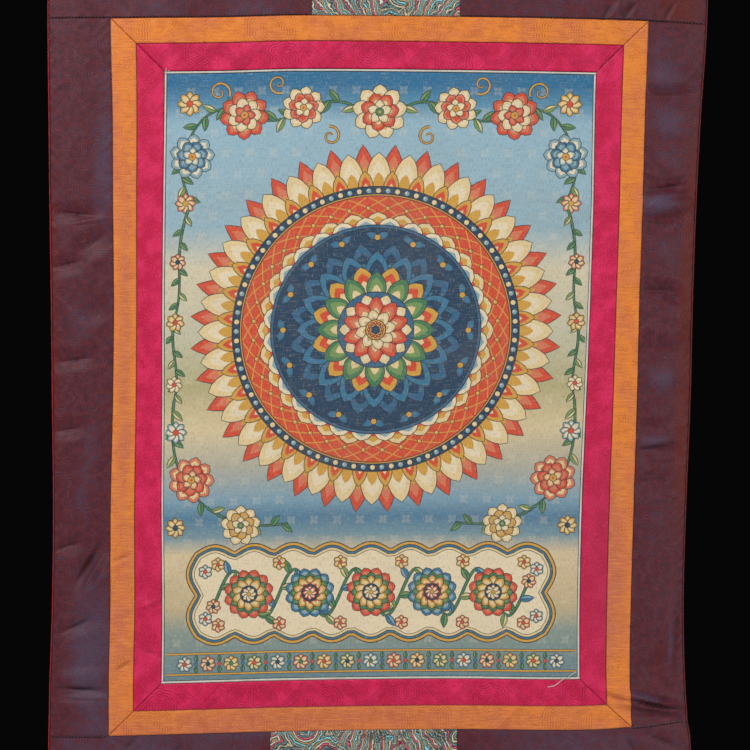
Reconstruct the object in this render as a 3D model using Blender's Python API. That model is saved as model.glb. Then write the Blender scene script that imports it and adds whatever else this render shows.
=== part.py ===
"""Thangka scroll painting: a woven picture in crimson and orange mitred frames, set into a dark brocade hanging.

Metres, +Z up. The cloth hangs in the XZ plane, its face looks along -Y, and the origin is the middle of the top
edge. Flat places on the cloth are given in millimetres from the middle of the picture: x to the right, z up.
hung() carries such a place to where the uneven, softly folded cloth really hangs.
"""

import math

import bmesh
import bpy

MM = 0.001

# Driving dimensions, in millimetres
PICTURE_WIDTH = 419.2
PICTURE_HEIGHT = 607.0
CRIMSON_BAND = 27.4
ORANGE_BAND = 24.9
LEFT_STRIP = 60.5
RIGHT_STRIP = 55.0
UPPER_SECTION = 180.0
LOWER_SECTION = 330.0
UPPER_PATCH = (-68.0, 77.0)
LOWER_PATCH = (-101.0, 88.0)
SHEET = 1.5
GAP = 0.3
PIPING = 2.2
EDGE_PIPING = 1.2
PIPING_SET_BACK = 0.6
THREAD = 0.8

# Half sizes of each ring of the layout, worked out from the middle of the picture outwards
PICTURE_X = PICTURE_WIDTH / 2
PICTURE_Z = PICTURE_HEIGHT / 2
CHANNEL = PIPING + 2 * GAP
PIPING_X = PICTURE_X + CHANNEL / 2
PIPING_Z = PICTURE_Z + CHANNEL / 2
CRIMSON_X = PICTURE_X + CHANNEL
CRIMSON_Z = PICTURE_Z + CHANNEL
ORANGE_X = CRIMSON_X + CRIMSON_BAND
ORANGE_Z = CRIMSON_Z + CRIMSON_BAND
FRAME_X = ORANGE_X + ORANGE_BAND
FRAME_Z = ORANGE_Z + ORANGE_BAND
LEFT_X = -(FRAME_X + LEFT_STRIP)
RIGHT_X = FRAME_X + RIGHT_STRIP
TOP_Z = FRAME_Z + UPPER_SECTION
HEM_Z = -(FRAME_Z + LOWER_SECTION)
LINES = (LEFT_X, -FRAME_X, -PIPING_X, PIPING_X, FRAME_X, RIGHT_X)

# Where six long lines of the flat cloth hang, as x, a row for each height: the left edge, the left frame seam, the
# piping left and right of the picture, the right frame seam and the right edge
# (height, left edge, left seam, left piping, right piping, right seam, right edge)
HUNG_LINES = (
    (TOP_Z, -328.4, -267.0, -212.0, 213.0, 264.6, 321.9),
    (355.0, -328.4, -267.0, -212.0, 213.0, 264.6, 321.4),
    (270.0, -327.2, -264.7, -212.0, 212.6, 263.5, 318.0),
    (175.0, -325.9, -263.7, -212.6, 213.0, 263.3, 315.7),
    (75.0, -324.1, -262.3, -212.8, 212.0, 262.4, 314.8),
    (-25.0, -322.8, -262.8, -212.2, 210.2, 262.4, 315.0),
    (-125.0, -321.4, -264.5, -212.1, 208.3, 261.7, 313.6),
    (-225.0, -322.2, -264.3, -210.7, 208.2, 261.2, 313.2),
    (-300.0, -324.4, -265.6, -210.8, 209.7, 261.7, 315.9),
    (-358.0, -325.4, -265.3, -211.5, 211.5, 265.0, 320.4),
    (-378.0, -325.8, -265.6, -211.8, 212.0, 265.6, 323.9),
    (HEM_Z, -343.8, -278.3, -222.0, 224.0, 281.3, 343.3),
)

# How far the two long seams stand above their flat height, a row for each place across
# (x, upper seam, lower seam)
SAG = (
    (-330.0, -6.1, -10.7),
    (-225.0, -3.8, -7.4),
    (-155.0, -2.1, -4.4),
    (-80.0, 0.9, -1.2),
    (80.0, 1.8, 3.3),
    (200.0, 1.4, 4.3),
    (265.0, 0.1, 8.3),
    (325.0, -2.6, 16.3),
)

# Soft ridges (height above 0) and troughs (below 0), placed as on the photographed cloth
# (x, z, half length, half width, height, turn in degrees)
FOLDS = (
    (291.0, 302.0, 34.0, 16.0, 3.5, 5.0),
    (287.0, 284.0, 32.0, 14.0, -3.0, 3.0),
    (289.0, 238.0, 26.0, 14.0, -1.5, 0.0),
    (290.0, 192.0, 34.0, 15.0, -3.5, 10.0),
    (290.0, 177.0, 36.0, 15.0, 4.5, 4.0),
    (284.0, 156.0, 30.0, 14.0, -3.0, 0.0),
    (286.0, 88.0, 34.0, 15.0, -3.5, 0.0),
    (298.0, 84.0, 20.0, 9.0, -2.0, -43.0),
    (292.0, 48.0, 34.0, 22.0, 4.0, -12.0),
    (288.0, 0.0, 30.0, 18.0, 2.5, 0.0),
    (280.0, -50.0, 26.0, 12.0, -2.0, 0.0),
    (284.0, -65.0, 30.0, 12.0, 3.0, 0.0),
    (288.0, -77.0, 34.0, 13.0, -4.0, 0.0),
    (283.0, -108.0, 30.0, 15.0, -2.5, 8.0),
    (305.0, -267.0, 52.0, 13.0, 3.0, 88.0),
    (286.0, -303.0, 26.0, 18.0, -3.5, 60.0),
    (280.0, -335.0, 54.0, 13.0, 6.5, -15.0),
    (286.0, -349.0, 46.0, 11.0, -3.5, -15.0),
    (-300.0, 167.0, 38.0, 14.0, -3.0, 2.0),
    (-283.0, 138.0, 30.0, 16.0, -3.0, 33.0),
    (-310.0, 116.0, 26.0, 13.0, -2.5, 14.0),
    (-285.0, 70.0, 20.0, 16.0, -2.5, 60.0),
    (-304.0, 22.0, 36.0, 14.0, -2.5, 8.0),
    (-311.0, -48.0, 30.0, 13.0, -2.5, 9.0),
    (-308.0, -165.0, 26.0, 13.0, -2.5, 17.0),
    (-288.0, -188.0, 44.0, 16.0, -4.5, 57.0),
    (-277.0, -197.0, 40.0, 14.0, 3.0, 57.0),
    (-299.0, -246.0, 34.0, 13.0, -3.0, 24.0),
    (-298.0, -299.0, 38.0, 13.0, 2.5, 4.0),
    (-292.0, -315.0, 42.0, 11.0, -3.5, 2.0),
    (-232.0, -303.0, 34.0, 15.0, 1.5, 25.0),
    (196.0, 167.0, 44.0, 18.0, 2.0, 35.0),
    (-150.0, -121.0, 190.0, 95.0, 2.0, 80.0),
    (60.0, 60.0, 230.0, 150.0, 3.0, 70.0),
    (-190.0, 423.0, 110.0, 34.0, 4.0, 78.0),
    (-262.0, 414.0, 100.0, 30.0, -3.0, 84.0),
    (176.0, 433.0, 110.0, 36.0, -4.0, 96.0),
    (246.0, 429.0, 96.0, 32.0, 4.0, 88.0),
    (8.0, 443.0, 90.0, 60.0, 3.0, 90.0),
    (-262.0, -509.0, 190.0, 40.0, 7.0, 84.0),
    (-190.0, -530.0, 180.0, 36.0, -6.0, 88.0),
    (-126.0, -551.0, 160.0, 34.0, 5.0, 90.0),
    (-20.0, -572.0, 170.0, 70.0, -5.0, 90.0),
    (92.0, -551.0, 170.0, 38.0, 6.0, 92.0),
    (164.0, -530.0, 180.0, 36.0, -6.0, 92.0),
    (236.0, -509.0, 190.0, 40.0, 8.0, 95.0),
    (296.0, -530.0, 170.0, 30.0, -5.0, 97.0),
)
EDGE_CURL = 5.0
EDGE_CURL_WIDTH = 40.0

# The loose thread across the piping's lower right corner: (x, z, height above the cloth)
LOOSE_THREAD = (
    (179.5, -313.7, 0.9),
    (187.0, -312.0, 0.9),
    (194.9, -305.9, 1.4),
    (200.2, -303.8, 1.4),
    (204.8, -300.4, 1.0),
    (208.5, -298.3, 0.9),
)
THREAD_STEPS = 18

# Grid sizes of the solids, in millimetres: the length of a cell in open cloth and along a folded strip
OPEN_CELL = 26.0
STRIP_CELL = 14.0
BAND_CELL = 24.0
CORD_STEP = 28.0

COLOURS = {
    "dark_brocade": (0.115, 0.035, 0.050),
    "orange_damask": (0.760, 0.230, 0.045),
    "crimson_damask": (0.500, 0.020, 0.085),
    "woven_picture": (0.360, 0.420, 0.420),
    "patch_brocade": (0.200, 0.310, 0.300),
    "white_cord": (0.690, 0.660, 0.600),
    "red_edge": (0.520, 0.030, 0.050),
}
ROUGHNESS = 0.7


def clear_scene():
    for obj in list(bpy.data.objects):
        bpy.data.objects.remove(obj, do_unlink=True)


def hermite(table, at, column):
    """A smooth curve through one column of a table whose first column rises or falls steadily."""
    rows = sorted(table)
    at = min(max(at, rows[0][0]), rows[-1][0])
    i = 0
    while i < len(rows) - 2 and at > rows[i + 1][0]:
        i += 1
    before, start, end, after = rows[max(i - 1, 0)], rows[i], rows[i + 1], rows[min(i + 2, len(rows) - 1)]
    span = end[0] - start[0]
    t = (at - start[0]) / span
    slope_start = (end[column] - before[column]) / (end[0] - before[0]) * span
    slope_end = (after[column] - start[column]) / (after[0] - start[0]) * span
    return (
        start[column] * (2 * t**3 - 3 * t**2 + 1)
        + slope_start * (t**3 - 2 * t**2 + t)
        + end[column] * (3 * t**2 - 2 * t**3)
        + slope_end * (t**3 - t**2)
    )


def hung_x(x, z):
    """Where a flat place hangs from left to right."""
    i = 0
    while i < len(LINES) - 2 and x > LINES[i + 1]:
        i += 1
    share = (x - LINES[i]) / (LINES[i + 1] - LINES[i])
    return (1 - share) * hermite(HUNG_LINES, z, i + 1) + share * hermite(HUNG_LINES, z, i + 2)


def sag(x, z):
    """How far the cloth stands above its flat place. It dies away towards the top edge and the hem."""
    upper = hermite(SAG, x, 1)
    lower = hermite(SAG, x, 2)
    if z > FRAME_Z:
        return upper * (TOP_Z - z) / UPPER_SECTION
    if z < -FRAME_Z:
        return lower * (z - HEM_Z) / LOWER_SECTION
    share = (z + FRAME_Z) / (2 * FRAME_Z)
    return lower + (upper - lower) * share


def hump(t):
    """1 at the middle of a fold, and 0 from one half width away."""
    return (1 - t * t) ** 2 if abs(t) < 1 else 0.0


def relief(x, z):
    """How far the face of the cloth stands out towards the viewer."""
    height = 0.0
    for fold_x, fold_z, half_length, half_width, fold_height, turn in FOLDS:
        c, s = math.cos(math.radians(turn)), math.sin(math.radians(turn))
        along = ((x - fold_x) * c + (z - fold_z) * s) / half_length
        across = ((z - fold_z) * c - (x - fold_x) * s) / half_width
        height += fold_height * hump(along) * hump(across)
    for edge in (x - LEFT_X, RIGHT_X - x):
        height -= EDGE_CURL * max(0.0, 1 - edge / EDGE_CURL_WIDTH) ** 2
    return height


def hung(x, z, behind=0.0):
    """Where a flat place on the cloth hangs, in metres. behind is the depth under the face in millimetres."""
    place = (hung_x(x, z), behind - relief(x, z), z + sag(x, z) - TOP_Z)
    return tuple(value * MM for value in place)


def material(slot):
    found = bpy.data.materials.get(slot)
    if found:
        return found
    made = bpy.data.materials.new(slot)
    made.use_nodes = True
    shader = made.node_tree.nodes["Principled BSDF"]
    shader.inputs["Base Color"].default_value = (*COLOURS[slot], 1.0)
    shader.inputs["Roughness"].default_value = ROUGHNESS
    shader.inputs["Metallic"].default_value = 0.0
    return made


def cloth_panel(collection, name, slot, corners, cell):
    """One sewn panel: a sheet over the four flat corners (low left, low right, high right, high left)."""
    (ax, az), (bx, bz), (cx, cz), (dx, dz) = corners
    width = max(math.hypot(bx - ax, bz - az), math.hypot(cx - dx, cz - dz))
    height = max(math.hypot(dx - ax, dz - az), math.hypot(cx - bx, cz - bz))
    columns = max(1, round(width / cell))
    rows = max(1, round(height / cell))
    bm = bmesh.new()
    bmesh.ops.create_grid(bm, x_segments=columns, y_segments=rows, size=0.5)
    for vertex in bm.verts:
        u, v = vertex.co.x + 0.5, vertex.co.y + 0.5
        x = (1 - v) * ((1 - u) * ax + u * bx) + v * ((1 - u) * dx + u * cx)
        z = (1 - v) * ((1 - u) * az + u * bz) + v * ((1 - u) * dz + u * cz)
        vertex.co = hung(x, z)
    back = bmesh.ops.extrude_face_region(bm, geom=bm.faces[:])
    moved = [item for item in back["geom"] if isinstance(item, bmesh.types.BMVert)]
    bmesh.ops.translate(bm, verts=moved, vec=(0.0, SHEET * MM, 0.0))
    bmesh.ops.recalc_face_normals(bm, faces=bm.faces[:])
    mesh = bpy.data.meshes.new(name)
    bm.to_mesh(mesh)
    bm.free()
    mesh.materials.append(material(slot))
    mesh.shade_smooth()
    mesh.set_sharp_from_angle(angle=math.radians(50))
    panel = bpy.data.objects.new(name, mesh)
    collection.objects.link(panel)
    return panel


def cord(collection, name, slot, points, diameter):
    """A round cord through points in metres."""
    curve = bpy.data.curves.new(name, "CURVE")
    curve.dimensions = "3D"
    curve.bevel_depth = diameter / 2 * MM
    curve.bevel_resolution = 2
    curve.use_fill_caps = True
    spline = curve.splines.new("POLY")
    spline.points.add(len(points) - 1)
    for spline_point, place in zip(spline.points, points):
        spline_point.co = (*place, 1.0)
    curve.materials.append(material(slot))
    obj = bpy.data.objects.new(name, curve)
    collection.objects.link(obj)
    return obj


def straight_route(start, end, behind):
    """Points along a straight line on the flat cloth, carried to the hanging cloth."""
    (x0, z0), (x1, z1) = start, end
    steps = max(2, round(math.hypot(x1 - x0, z1 - z0) / CORD_STEP))
    return [
        hung(x0 + (x1 - x0) * i / steps, z0 + (z1 - z0) * i / steps, behind) for i in range(steps + 1)
    ]


def mitred_frame(collection, label, slot, inner_x, inner_z, band):
    """Four strips that meet at mitres, each shortened by half a gap along its mitres."""
    outer_x, outer_z = inner_x + band, inner_z + band
    half = GAP / 2
    inner_x, inner_z = inner_x + half, inner_z + half
    outer_x, outer_z = outer_x - half, outer_z - half
    for side, sign in (("top", 1), ("bottom", -1)):
        low = [(-inner_x + half, sign * inner_z), (inner_x - half, sign * inner_z)]
        high = [(outer_x - half, sign * outer_z), (-outer_x + half, sign * outer_z)]
        corners = low + high
        cloth_panel(collection, f"{label}_{side}", slot, corners, BAND_CELL)
    for side, sign in (("left", -1), ("right", 1)):
        corners = [
            (sign * inner_x, -inner_z + half),
            (sign * outer_x, -outer_z + half),
            (sign * outer_x, outer_z - half),
            (sign * inner_x, inner_z - half),
        ]
        cloth_panel(collection, f"{label}_{side}", slot, corners, BAND_CELL)


def rectangle(collection, name, slot, left, low, right, high, cell):
    """A panel between two x and two z, inset by half a gap on each side."""
    half = GAP / 2
    corners = [
        (left + half, low + half),
        (right - half, low + half),
        (right - half, high - half),
        (left + half, high - half),
    ]
    return cloth_panel(collection, name, slot, corners, cell)


def picture_piping(collection):
    """The white cord round the picture, one length for each side."""
    x, z = PIPING_X, PIPING_Z
    for side, sign in (("top", 1), ("bottom", -1)):
        reach = x + PIPING / 2
        route = straight_route((-reach, sign * z), (reach, sign * z), PIPING_SET_BACK)
        cord(collection, f"piping_{side}", "white_cord", route, PIPING)
    for side, sign in (("left", -1), ("right", 1)):
        reach = z - PIPING / 2 - GAP
        route = straight_route((sign * x, -reach), (sign * x, reach), PIPING_SET_BACK)
        cord(collection, f"piping_{side}", "white_cord", route, PIPING)


def side_section(collection):
    rectangle(collection, "side_left", "dark_brocade", LEFT_X, -FRAME_Z, -FRAME_X, FRAME_Z, STRIP_CELL)
    rectangle(collection, "side_right", "dark_brocade", FRAME_X, -FRAME_Z, RIGHT_X, FRAME_Z, STRIP_CELL)


def end_section(collection, label, patch, low, high):
    """The section above or below the frame: dark brocade on each side of a bright patch."""
    patch_left, patch_right = patch
    rectangle(collection, f"{label}_left", "dark_brocade", LEFT_X, low, patch_left, high, OPEN_CELL)
    rectangle(collection, f"{label}_patch", "patch_brocade", patch_left, low, patch_right, high, OPEN_CELL)
    rectangle(collection, f"{label}_right", "dark_brocade", patch_right, low, RIGHT_X, high, OPEN_CELL)


def edge_piping(collection):
    """The thin red cord sewn along each outer edge, from the top edge to the hem."""
    away = EDGE_PIPING / 2 + GAP
    for side, x in (("left", LEFT_X - away), ("right", RIGHT_X + away)):
        route = straight_route((x, HEM_Z), (x, TOP_Z), SHEET / 2)
        cord(collection, f"edge_{side}", "red_edge", route, EDGE_PIPING)


def loose_thread(collection):
    route = []
    for i in range(THREAD_STEPS + 1):
        x = LOOSE_THREAD[0][0] + (LOOSE_THREAD[-1][0] - LOOSE_THREAD[0][0]) * i / THREAD_STEPS
        route.append(hung(x, hermite(LOOSE_THREAD, x, 1), -hermite(LOOSE_THREAD, x, 2)))
    cord(collection, "thread_end", "white_cord", route, THREAD)


def main():
    clear_scene()
    collection = bpy.data.collections.new("thangka")
    bpy.context.scene.collection.children.link(collection)
    rectangle(
        collection, "picture", "woven_picture", -PICTURE_X, -PICTURE_Z, PICTURE_X, PICTURE_Z, OPEN_CELL
    )
    picture_piping(collection)
    mitred_frame(collection, "crimson", "crimson_damask", CRIMSON_X, CRIMSON_Z, CRIMSON_BAND)
    mitred_frame(collection, "orange", "orange_damask", ORANGE_X, ORANGE_Z, ORANGE_BAND)
    side_section(collection)
    end_section(collection, "upper", UPPER_PATCH, FRAME_Z, TOP_Z)
    end_section(collection, "lower", LOWER_PATCH, HEM_Z, -FRAME_Z)
    edge_piping(collection)
    loose_thread(collection)


main()
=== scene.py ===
"""The looks of the thangka scroll: cloth panels with seams and folds, woven patterns, piping and stitches.

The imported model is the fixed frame. Flat places on the cloth are in millimetres from the middle of the
picture, x to the right and z up, as in the part's source, and hung() carries them to the hanging cloth in
metres.
"""

import math

import bpy
import numpy as np
from mathutils import Matrix, Vector
from mathutils.bvhtree import BVHTree
from mathutils.geometry import delaunay_2d_cdt
from mathutils.kdtree import KDTree


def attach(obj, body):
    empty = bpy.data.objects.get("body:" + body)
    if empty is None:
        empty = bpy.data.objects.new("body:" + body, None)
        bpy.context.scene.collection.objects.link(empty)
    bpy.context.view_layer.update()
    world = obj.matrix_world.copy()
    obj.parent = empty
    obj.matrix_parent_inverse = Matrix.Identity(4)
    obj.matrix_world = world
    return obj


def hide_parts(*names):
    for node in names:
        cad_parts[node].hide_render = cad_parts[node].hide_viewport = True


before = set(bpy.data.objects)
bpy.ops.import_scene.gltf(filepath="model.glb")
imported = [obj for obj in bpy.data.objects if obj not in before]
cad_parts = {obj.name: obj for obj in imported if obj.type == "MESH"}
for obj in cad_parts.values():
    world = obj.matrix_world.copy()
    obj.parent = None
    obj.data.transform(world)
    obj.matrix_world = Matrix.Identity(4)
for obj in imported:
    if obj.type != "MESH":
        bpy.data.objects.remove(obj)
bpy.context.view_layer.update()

MM = 0.001

# Sizes of the sewn layout, in millimetres, the same as the solids have. The sheets are 0.1 thinner.
PICTURE_WIDTH = 419.2
PICTURE_HEIGHT = 607
CRIMSON_BAND = 27.4
ORANGE_BAND = 24.9
LEFT_STRIP = 60.5
RIGHT_STRIP = 55
UPPER_SECTION = 180
LOWER_SECTION = 330
UPPER_PATCH = (-68, 77)
LOWER_PATCH = (-101, 88)
SHEET = 1.4
GAP = 0.3
PIPING = 2.2
EDGE_PIPING = 1.2
PIPING_SET_BACK = 0.6
THREAD = 0.8

PICTURE_X = PICTURE_WIDTH / 2
PICTURE_Z = PICTURE_HEIGHT / 2
CHANNEL = PIPING + 2 * GAP
PIPING_X = PICTURE_X + CHANNEL / 2
PIPING_Z = PICTURE_Z + CHANNEL / 2
CRIMSON_X = PICTURE_X + CHANNEL
CRIMSON_Z = PICTURE_Z + CHANNEL
ORANGE_X = CRIMSON_X + CRIMSON_BAND
ORANGE_Z = CRIMSON_Z + CRIMSON_BAND
FRAME_X = ORANGE_X + ORANGE_BAND
FRAME_Z = ORANGE_Z + ORANGE_BAND
LEFT_X = -(FRAME_X + LEFT_STRIP)
RIGHT_X = FRAME_X + RIGHT_STRIP
TOP_Z = FRAME_Z + UPPER_SECTION
HEM_Z = -(FRAME_Z + LOWER_SECTION)
LINES = (LEFT_X, -FRAME_X, -PIPING_X, PIPING_X, FRAME_X, RIGHT_X)

# Where six long lines of the flat cloth hang, as x, a row for each height
# (height, left edge, left seam, left piping, right piping, right seam, right edge)
HUNG_LINES = (
    (TOP_Z, -328.4, -267, -212, 213, 264.6, 321.9),
    (355, -328.4, -267, -212, 213, 264.6, 321.4),
    (270, -327.2, -264.7, -212, 212.6, 263.5, 318),
    (175, -325.9, -263.7, -212.6, 213, 263.3, 315.7),
    (75, -324.1, -262.3, -212.8, 212, 262.4, 314.8),
    (-25, -322.8, -262.8, -212.2, 210.2, 262.4, 315),
    (-125, -321.4, -264.5, -212.1, 208.3, 261.7, 313.6),
    (-225, -322.2, -264.3, -210.7, 208.2, 261.2, 313.2),
    (-300, -324.4, -265.6, -210.8, 209.7, 261.7, 315.9),
    (-358, -325.4, -265.3, -211.5, 211.5, 265, 320.4),
    (-378, -325.8, -265.6, -211.8, 212, 265.6, 323.9),
    (HEM_Z, -343.8, -278.3, -222, 224, 281.3, 343.3),
)

# How far the two long seams stand above their flat height, a row for each place across
# (x, upper seam, lower seam)
SAG = (
    (-330, -6.1, -10.7),
    (-225, -3.8, -7.4),
    (-155, -2.1, -4.4),
    (-80, 0.9, -1.2),
    (80, 1.8, 3.3),
    (200, 1.4, 4.3),
    (265, 0.1, 8.3),
    (325, -2.6, 16.3),
)

# Soft ridges (height above 0) and troughs (below 0)
# (x, z, half length, half width, height, turn in degrees)
FOLDS = (
    (291, 302, 34, 16, 3.5, 5),
    (287, 284, 32, 14, -3, 3),
    (289, 238, 26, 14, -1.5, 0),
    (290, 192, 34, 15, -3.5, 10),
    (290, 177, 36, 15, 4.5, 4),
    (284, 156, 30, 14, -3, 0),
    (286, 88, 34, 15, -3.5, 0),
    (298, 84, 20, 9, -2, -43),
    (292, 48, 34, 22, 4, -12),
    (288, 0, 30, 18, 2.5, 0),
    (280, -50, 26, 12, -2, 0),
    (284, -65, 30, 12, 3, 0),
    (288, -77, 34, 13, -4, 0),
    (283, -108, 30, 15, -2.5, 8),
    (305, -267, 52, 13, 3, 88),
    (286, -303, 26, 18, -3.5, 60),
    (280, -335, 54, 13, 6.5, -15),
    (286, -349, 46, 11, -3.5, -15),
    (-300, 167, 38, 14, -3, 2),
    (-283, 138, 30, 16, -3, 33),
    (-310, 116, 26, 13, -2.5, 14),
    (-285, 70, 20, 16, -2.5, 60),
    (-304, 22, 36, 14, -2.5, 8),
    (-311, -48, 30, 13, -2.5, 9),
    (-308, -165, 26, 13, -2.5, 17),
    (-288, -188, 44, 16, -4.5, 57),
    (-277, -197, 40, 14, 3, 57),
    (-299, -246, 34, 13, -3, 24),
    (-298, -299, 38, 13, 2.5, 4),
    (-292, -315, 42, 11, -3.5, 2),
    (-232, -303, 34, 15, 1.5, 25),
    (196, 167, 44, 18, 2, 35),
    (-150, -121, 190, 95, 2, 80),
    (60, 60, 230, 150, 3, 70),
    (-190, 423, 110, 34, 4, 78),
    (-262, 414, 100, 30, -3, 84),
    (176, 433, 110, 36, -4, 96),
    (246, 429, 96, 32, 4, 88),
    (8, 443, 90, 60, 3, 90),
    (-262, -509, 190, 40, 7, 84),
    (-190, -530, 180, 36, -6, 88),
    (-126, -551, 160, 34, 5, 90),
    (-20, -572, 170, 70, -5, 90),
    (92, -551, 170, 38, 6, 92),
    (164, -530, 180, 36, -6, 92),
    (236, -509, 190, 40, 8, 95),
    (296, -530, 170, 30, -5, 97),
)
EDGE_CURL = 5
EDGE_CURL_WIDTH = 40

# Sharper creases pressed into the cloth, with the same columns. The materials also darken their hollows with
# painted shade.
CREASES = (
    (289, 285, 26, 3, -1, 4),
    (290, 193, 26, 4, -2.4, 10),
    (290, 186, 28, 4, 2.2, 8),
    (282, 156, 22, 3.5, -1.2, 2),
    (285, 89, 24, 3.5, -2.2, 0),
    (299, 83, 15, 3, -1, -43),
    (283, -71, 24, 3.5, -2.2, 4),
    (286, -78, 22, 3, 1.6, 0),
    (281, -105, 18, 3.5, -1, 6),
    (303, -121, 14, 3, 0.8, -20),
    (264, -255, 12, 3, -0.9, 10),
    (246, -319, 20, 3.4, 3.4, -10),
    (252, -327, 20, 3.2, -3, -14),
    (284, -330, 34, 4, 5.6, -19),
    (289, -338, 36, 3, -6, -19),
    (276, -346, 18, 3.4, 1.6, -10),
    (-301, 167, 24, 3.5, -2.4, -6),
    (-290, 160, 26, 3, 1.6, 8),
    (-284, 139, 22, 5, -1.2, 35),
    (-311, 117, 20, 3, -2.4, 14),
    (-303, 22, 22, 3, -2.4, 8),
    (-311, -48, 18, 3, -2.2, 9),
    (-310, -165, 20, 3, -2.2, 18),
    (-289, -184, 34, 4, -3.2, 57),
    (-282, -190, 30, 4, 2.8, 57),
    (-281, -198, 22, 4, -1.8, 57),
    (-300, -246, 22, 3.5, -2.4, 24),
    (-293, -311, 30, 3, -3, -4),
    (-288, -319, 30, 3, 2.2, -2),
    (-252, -177, 15, 3.2, -2.2, 20),
    (-249, -265, 15, 3.2, 2.2, -25),
    (-250, -287, 15, 3.2, -2.2, 30),
    (-224, -224, 15, 3.2, 2, 20),
    (-224, -273, 15, 3.2, -2, -20),
    (-252, 369, 16, 3, -1.2, 130),
    (276, 374, 30, 4, -1.5, 58),
    (221, 366, 14, 4.6, -3, 60),
    (243, 367, 16, 4.6, -3.4, 52),
    (283, 369, 17, 4.6, -3.2, 62),
    (232, 369, 15, 4.6, 2, 56),
    (294, -375, 24, 3.2, -3.2, -28),
    (264, -377, 16, 3.2, -3, -64),
    (238, -382, 18, 3.6, 3, -50),
    (-246, -370, 18, 3.2, -3, 42),
    (-256, -378, 18, 3.6, 3, 42),
    (-196, -376, 20, 3.4, -2.6, 54),
)

# Painted sheen of the two-tone silks: where they are painted towards their other colour as they would turn
# in the light, violet on the dark cloth and dull rose on the bands. Below 0 the dark cloth turns a warm
# brown instead.
# (x, z, half length, half width, strength, turn in degrees)
SHEEN_AND_TONE = (
    (280, 335, 40, 22, 0.5, 80),
    (284, 303, 30, 24, 0.8, 0),
    (286, 262, 34, 28, 0.7, 0),
    (284, 223, 26, 22, 0.5, 0),
    (280, 178, 32, 18, 1.1, 8),
    (284, 129, 26, 24, 0.4, 0),
    (292, 0, 30, 22, 0.7, 0),
    (284, -64, 26, 13, 0.8, 0),
    (284, -151, 40, 22, 0.4, 80),
    (300, -242, 60, 18, 0.4, 90),
    (-272, 228, 130, 20, 0.7, 90),
    (-290, -90, 80, 20, 0.6, 85),
    (-300, 60, 60, 24, 0.4, 90),
    (-282, -275, 130, 46, 0.85, 88),
    (-210, 367, 60, 20, 0.5, 0),
    (-120, 365, 50, 18, 0.6, 0),
    (150, 367, 60, 18, 0.5, 0),
    (-220, -400, 180, 75, 0.85, 6),
    (220, -400, 170, 75, 0.75, -6),
    (318, 60, 330, 20, -1.4, 89),
    (300, -300, 90, 30, -0.5, 90),
    (-324, 60, 320, 16, -0.6, 90),
    (235, -190, 190, 44, 1, 90),
    (284, -329, 30, 5, 1, -19),
    (306, -284, 46, 8, 1, 84),
    (292, 384, 60, 40, -0.9, 90),
    (-30, -345, 300, 26, 0.75, 0),
    (-252, 0, 420, 14, 0.7, 90),
    (-225, -230, 140, 30, 0.4, 90),
)

# The loose thread across the piping's lower right corner: (x, z, height above the cloth)
LOOSE_THREAD = (
    (179.5, -313.7, 0.9),
    (187, -312, 0.9),
    (194.9, -305.9, 1.4),
    (200.2, -303.8, 1.4),
    (204.8, -300.4, 1),
    (208.5, -298.3, 0.9),
)
THREAD_STEPS = 18

# How the cloth turns down into its seams, and puckers beside them, in millimetres. Dark cloth lies flatter.
SEAM_DROP = 0.7
FLAT_SEAM_DROP = 0.25
SEAM_WIDTH = 2.0
# Painted shade along every seam: how strong it is, and how far in from the edge it reaches in millimetres
SEAM_SHADE = 2.6
SEAM_SHADE_WIDTH = 0.9
PUCKER = 0.42
PUCKER_REACH = 10
RIPPLE = 0.22

# The length of a mesh cell in the dark strips, in the bands and in the open cloth, in millimetres
STRIP_CELL = 1.7
BAND_CELL = 2.4
OPEN_CELL = 3

# The stitches beside the upper and lower seams of the dark cloth, in millimetres
STITCH_PITCH = 3.3
STITCH_LENGTH = 2.4
STITCH_THREAD = 1.15
STITCHED_IN = 1
STITCH_SIDES = 6
# (share of the length, girth, lift)
STITCH_STATIONS = ((-0.5, 0.25, -0.1), (-0.3, 0.9, 0.5), (0, 1, 0.7), (0.3, 0.9, 0.5), (0.5, 0.25, -0.1))

# The twist of the cords: how deep the strands part, as a share of the radius
STRAND_DEPTH = 0.09

# Where a panel lies on its own map: the face in one half of it and the reverse in the other. The picture's
# face has more of its map than its plain reverse.
MAP_MARGIN = 0.01
MAP_HALF = 0.46
MAP_WHOLE = 0.98
MAP_TO_REVERSE = 0.52
MAP_RIM = 0.004
MAP_PICTURE_FACE = 0.78
MAP_PICTURE_REVERSE = 0.18
MAP_PICTURE_TO_REVERSE = 0.81

# The camera, in degrees and metres
CAMERA_PITCH = -5
CAMERA_ROLL = -0.85
CAMERA_DISTANCE = 2.4
CAMERA_LENS = 115.2
FLOOR_BELOW_HEM = 0.06


def hermite(table, at, column):
    """A smooth curve through one column of a table whose first column rises or falls steadily."""
    rows = np.array(sorted(table))
    keys, values = rows[:, 0], rows[:, column]
    at = np.clip(at, keys[0], keys[-1])
    i = np.clip(np.searchsorted(keys, at, side="left") - 1, 0, len(keys) - 2)
    before, after = np.maximum(i - 1, 0), np.minimum(i + 2, len(keys) - 1)
    span = keys[i + 1] - keys[i]
    t = (at - keys[i]) / span
    slope_start = (values[i + 1] - values[before]) / (keys[i + 1] - keys[before]) * span
    slope_end = (values[after] - values[i]) / (keys[after] - keys[i]) * span
    return (
        values[i] * (2 * t**3 - 3 * t**2 + 1)
        + slope_start * (t**3 - 2 * t**2 + t)
        + values[i + 1] * (3 * t**2 - 2 * t**3)
        + slope_end * (t**3 - t**2)
    )


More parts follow.
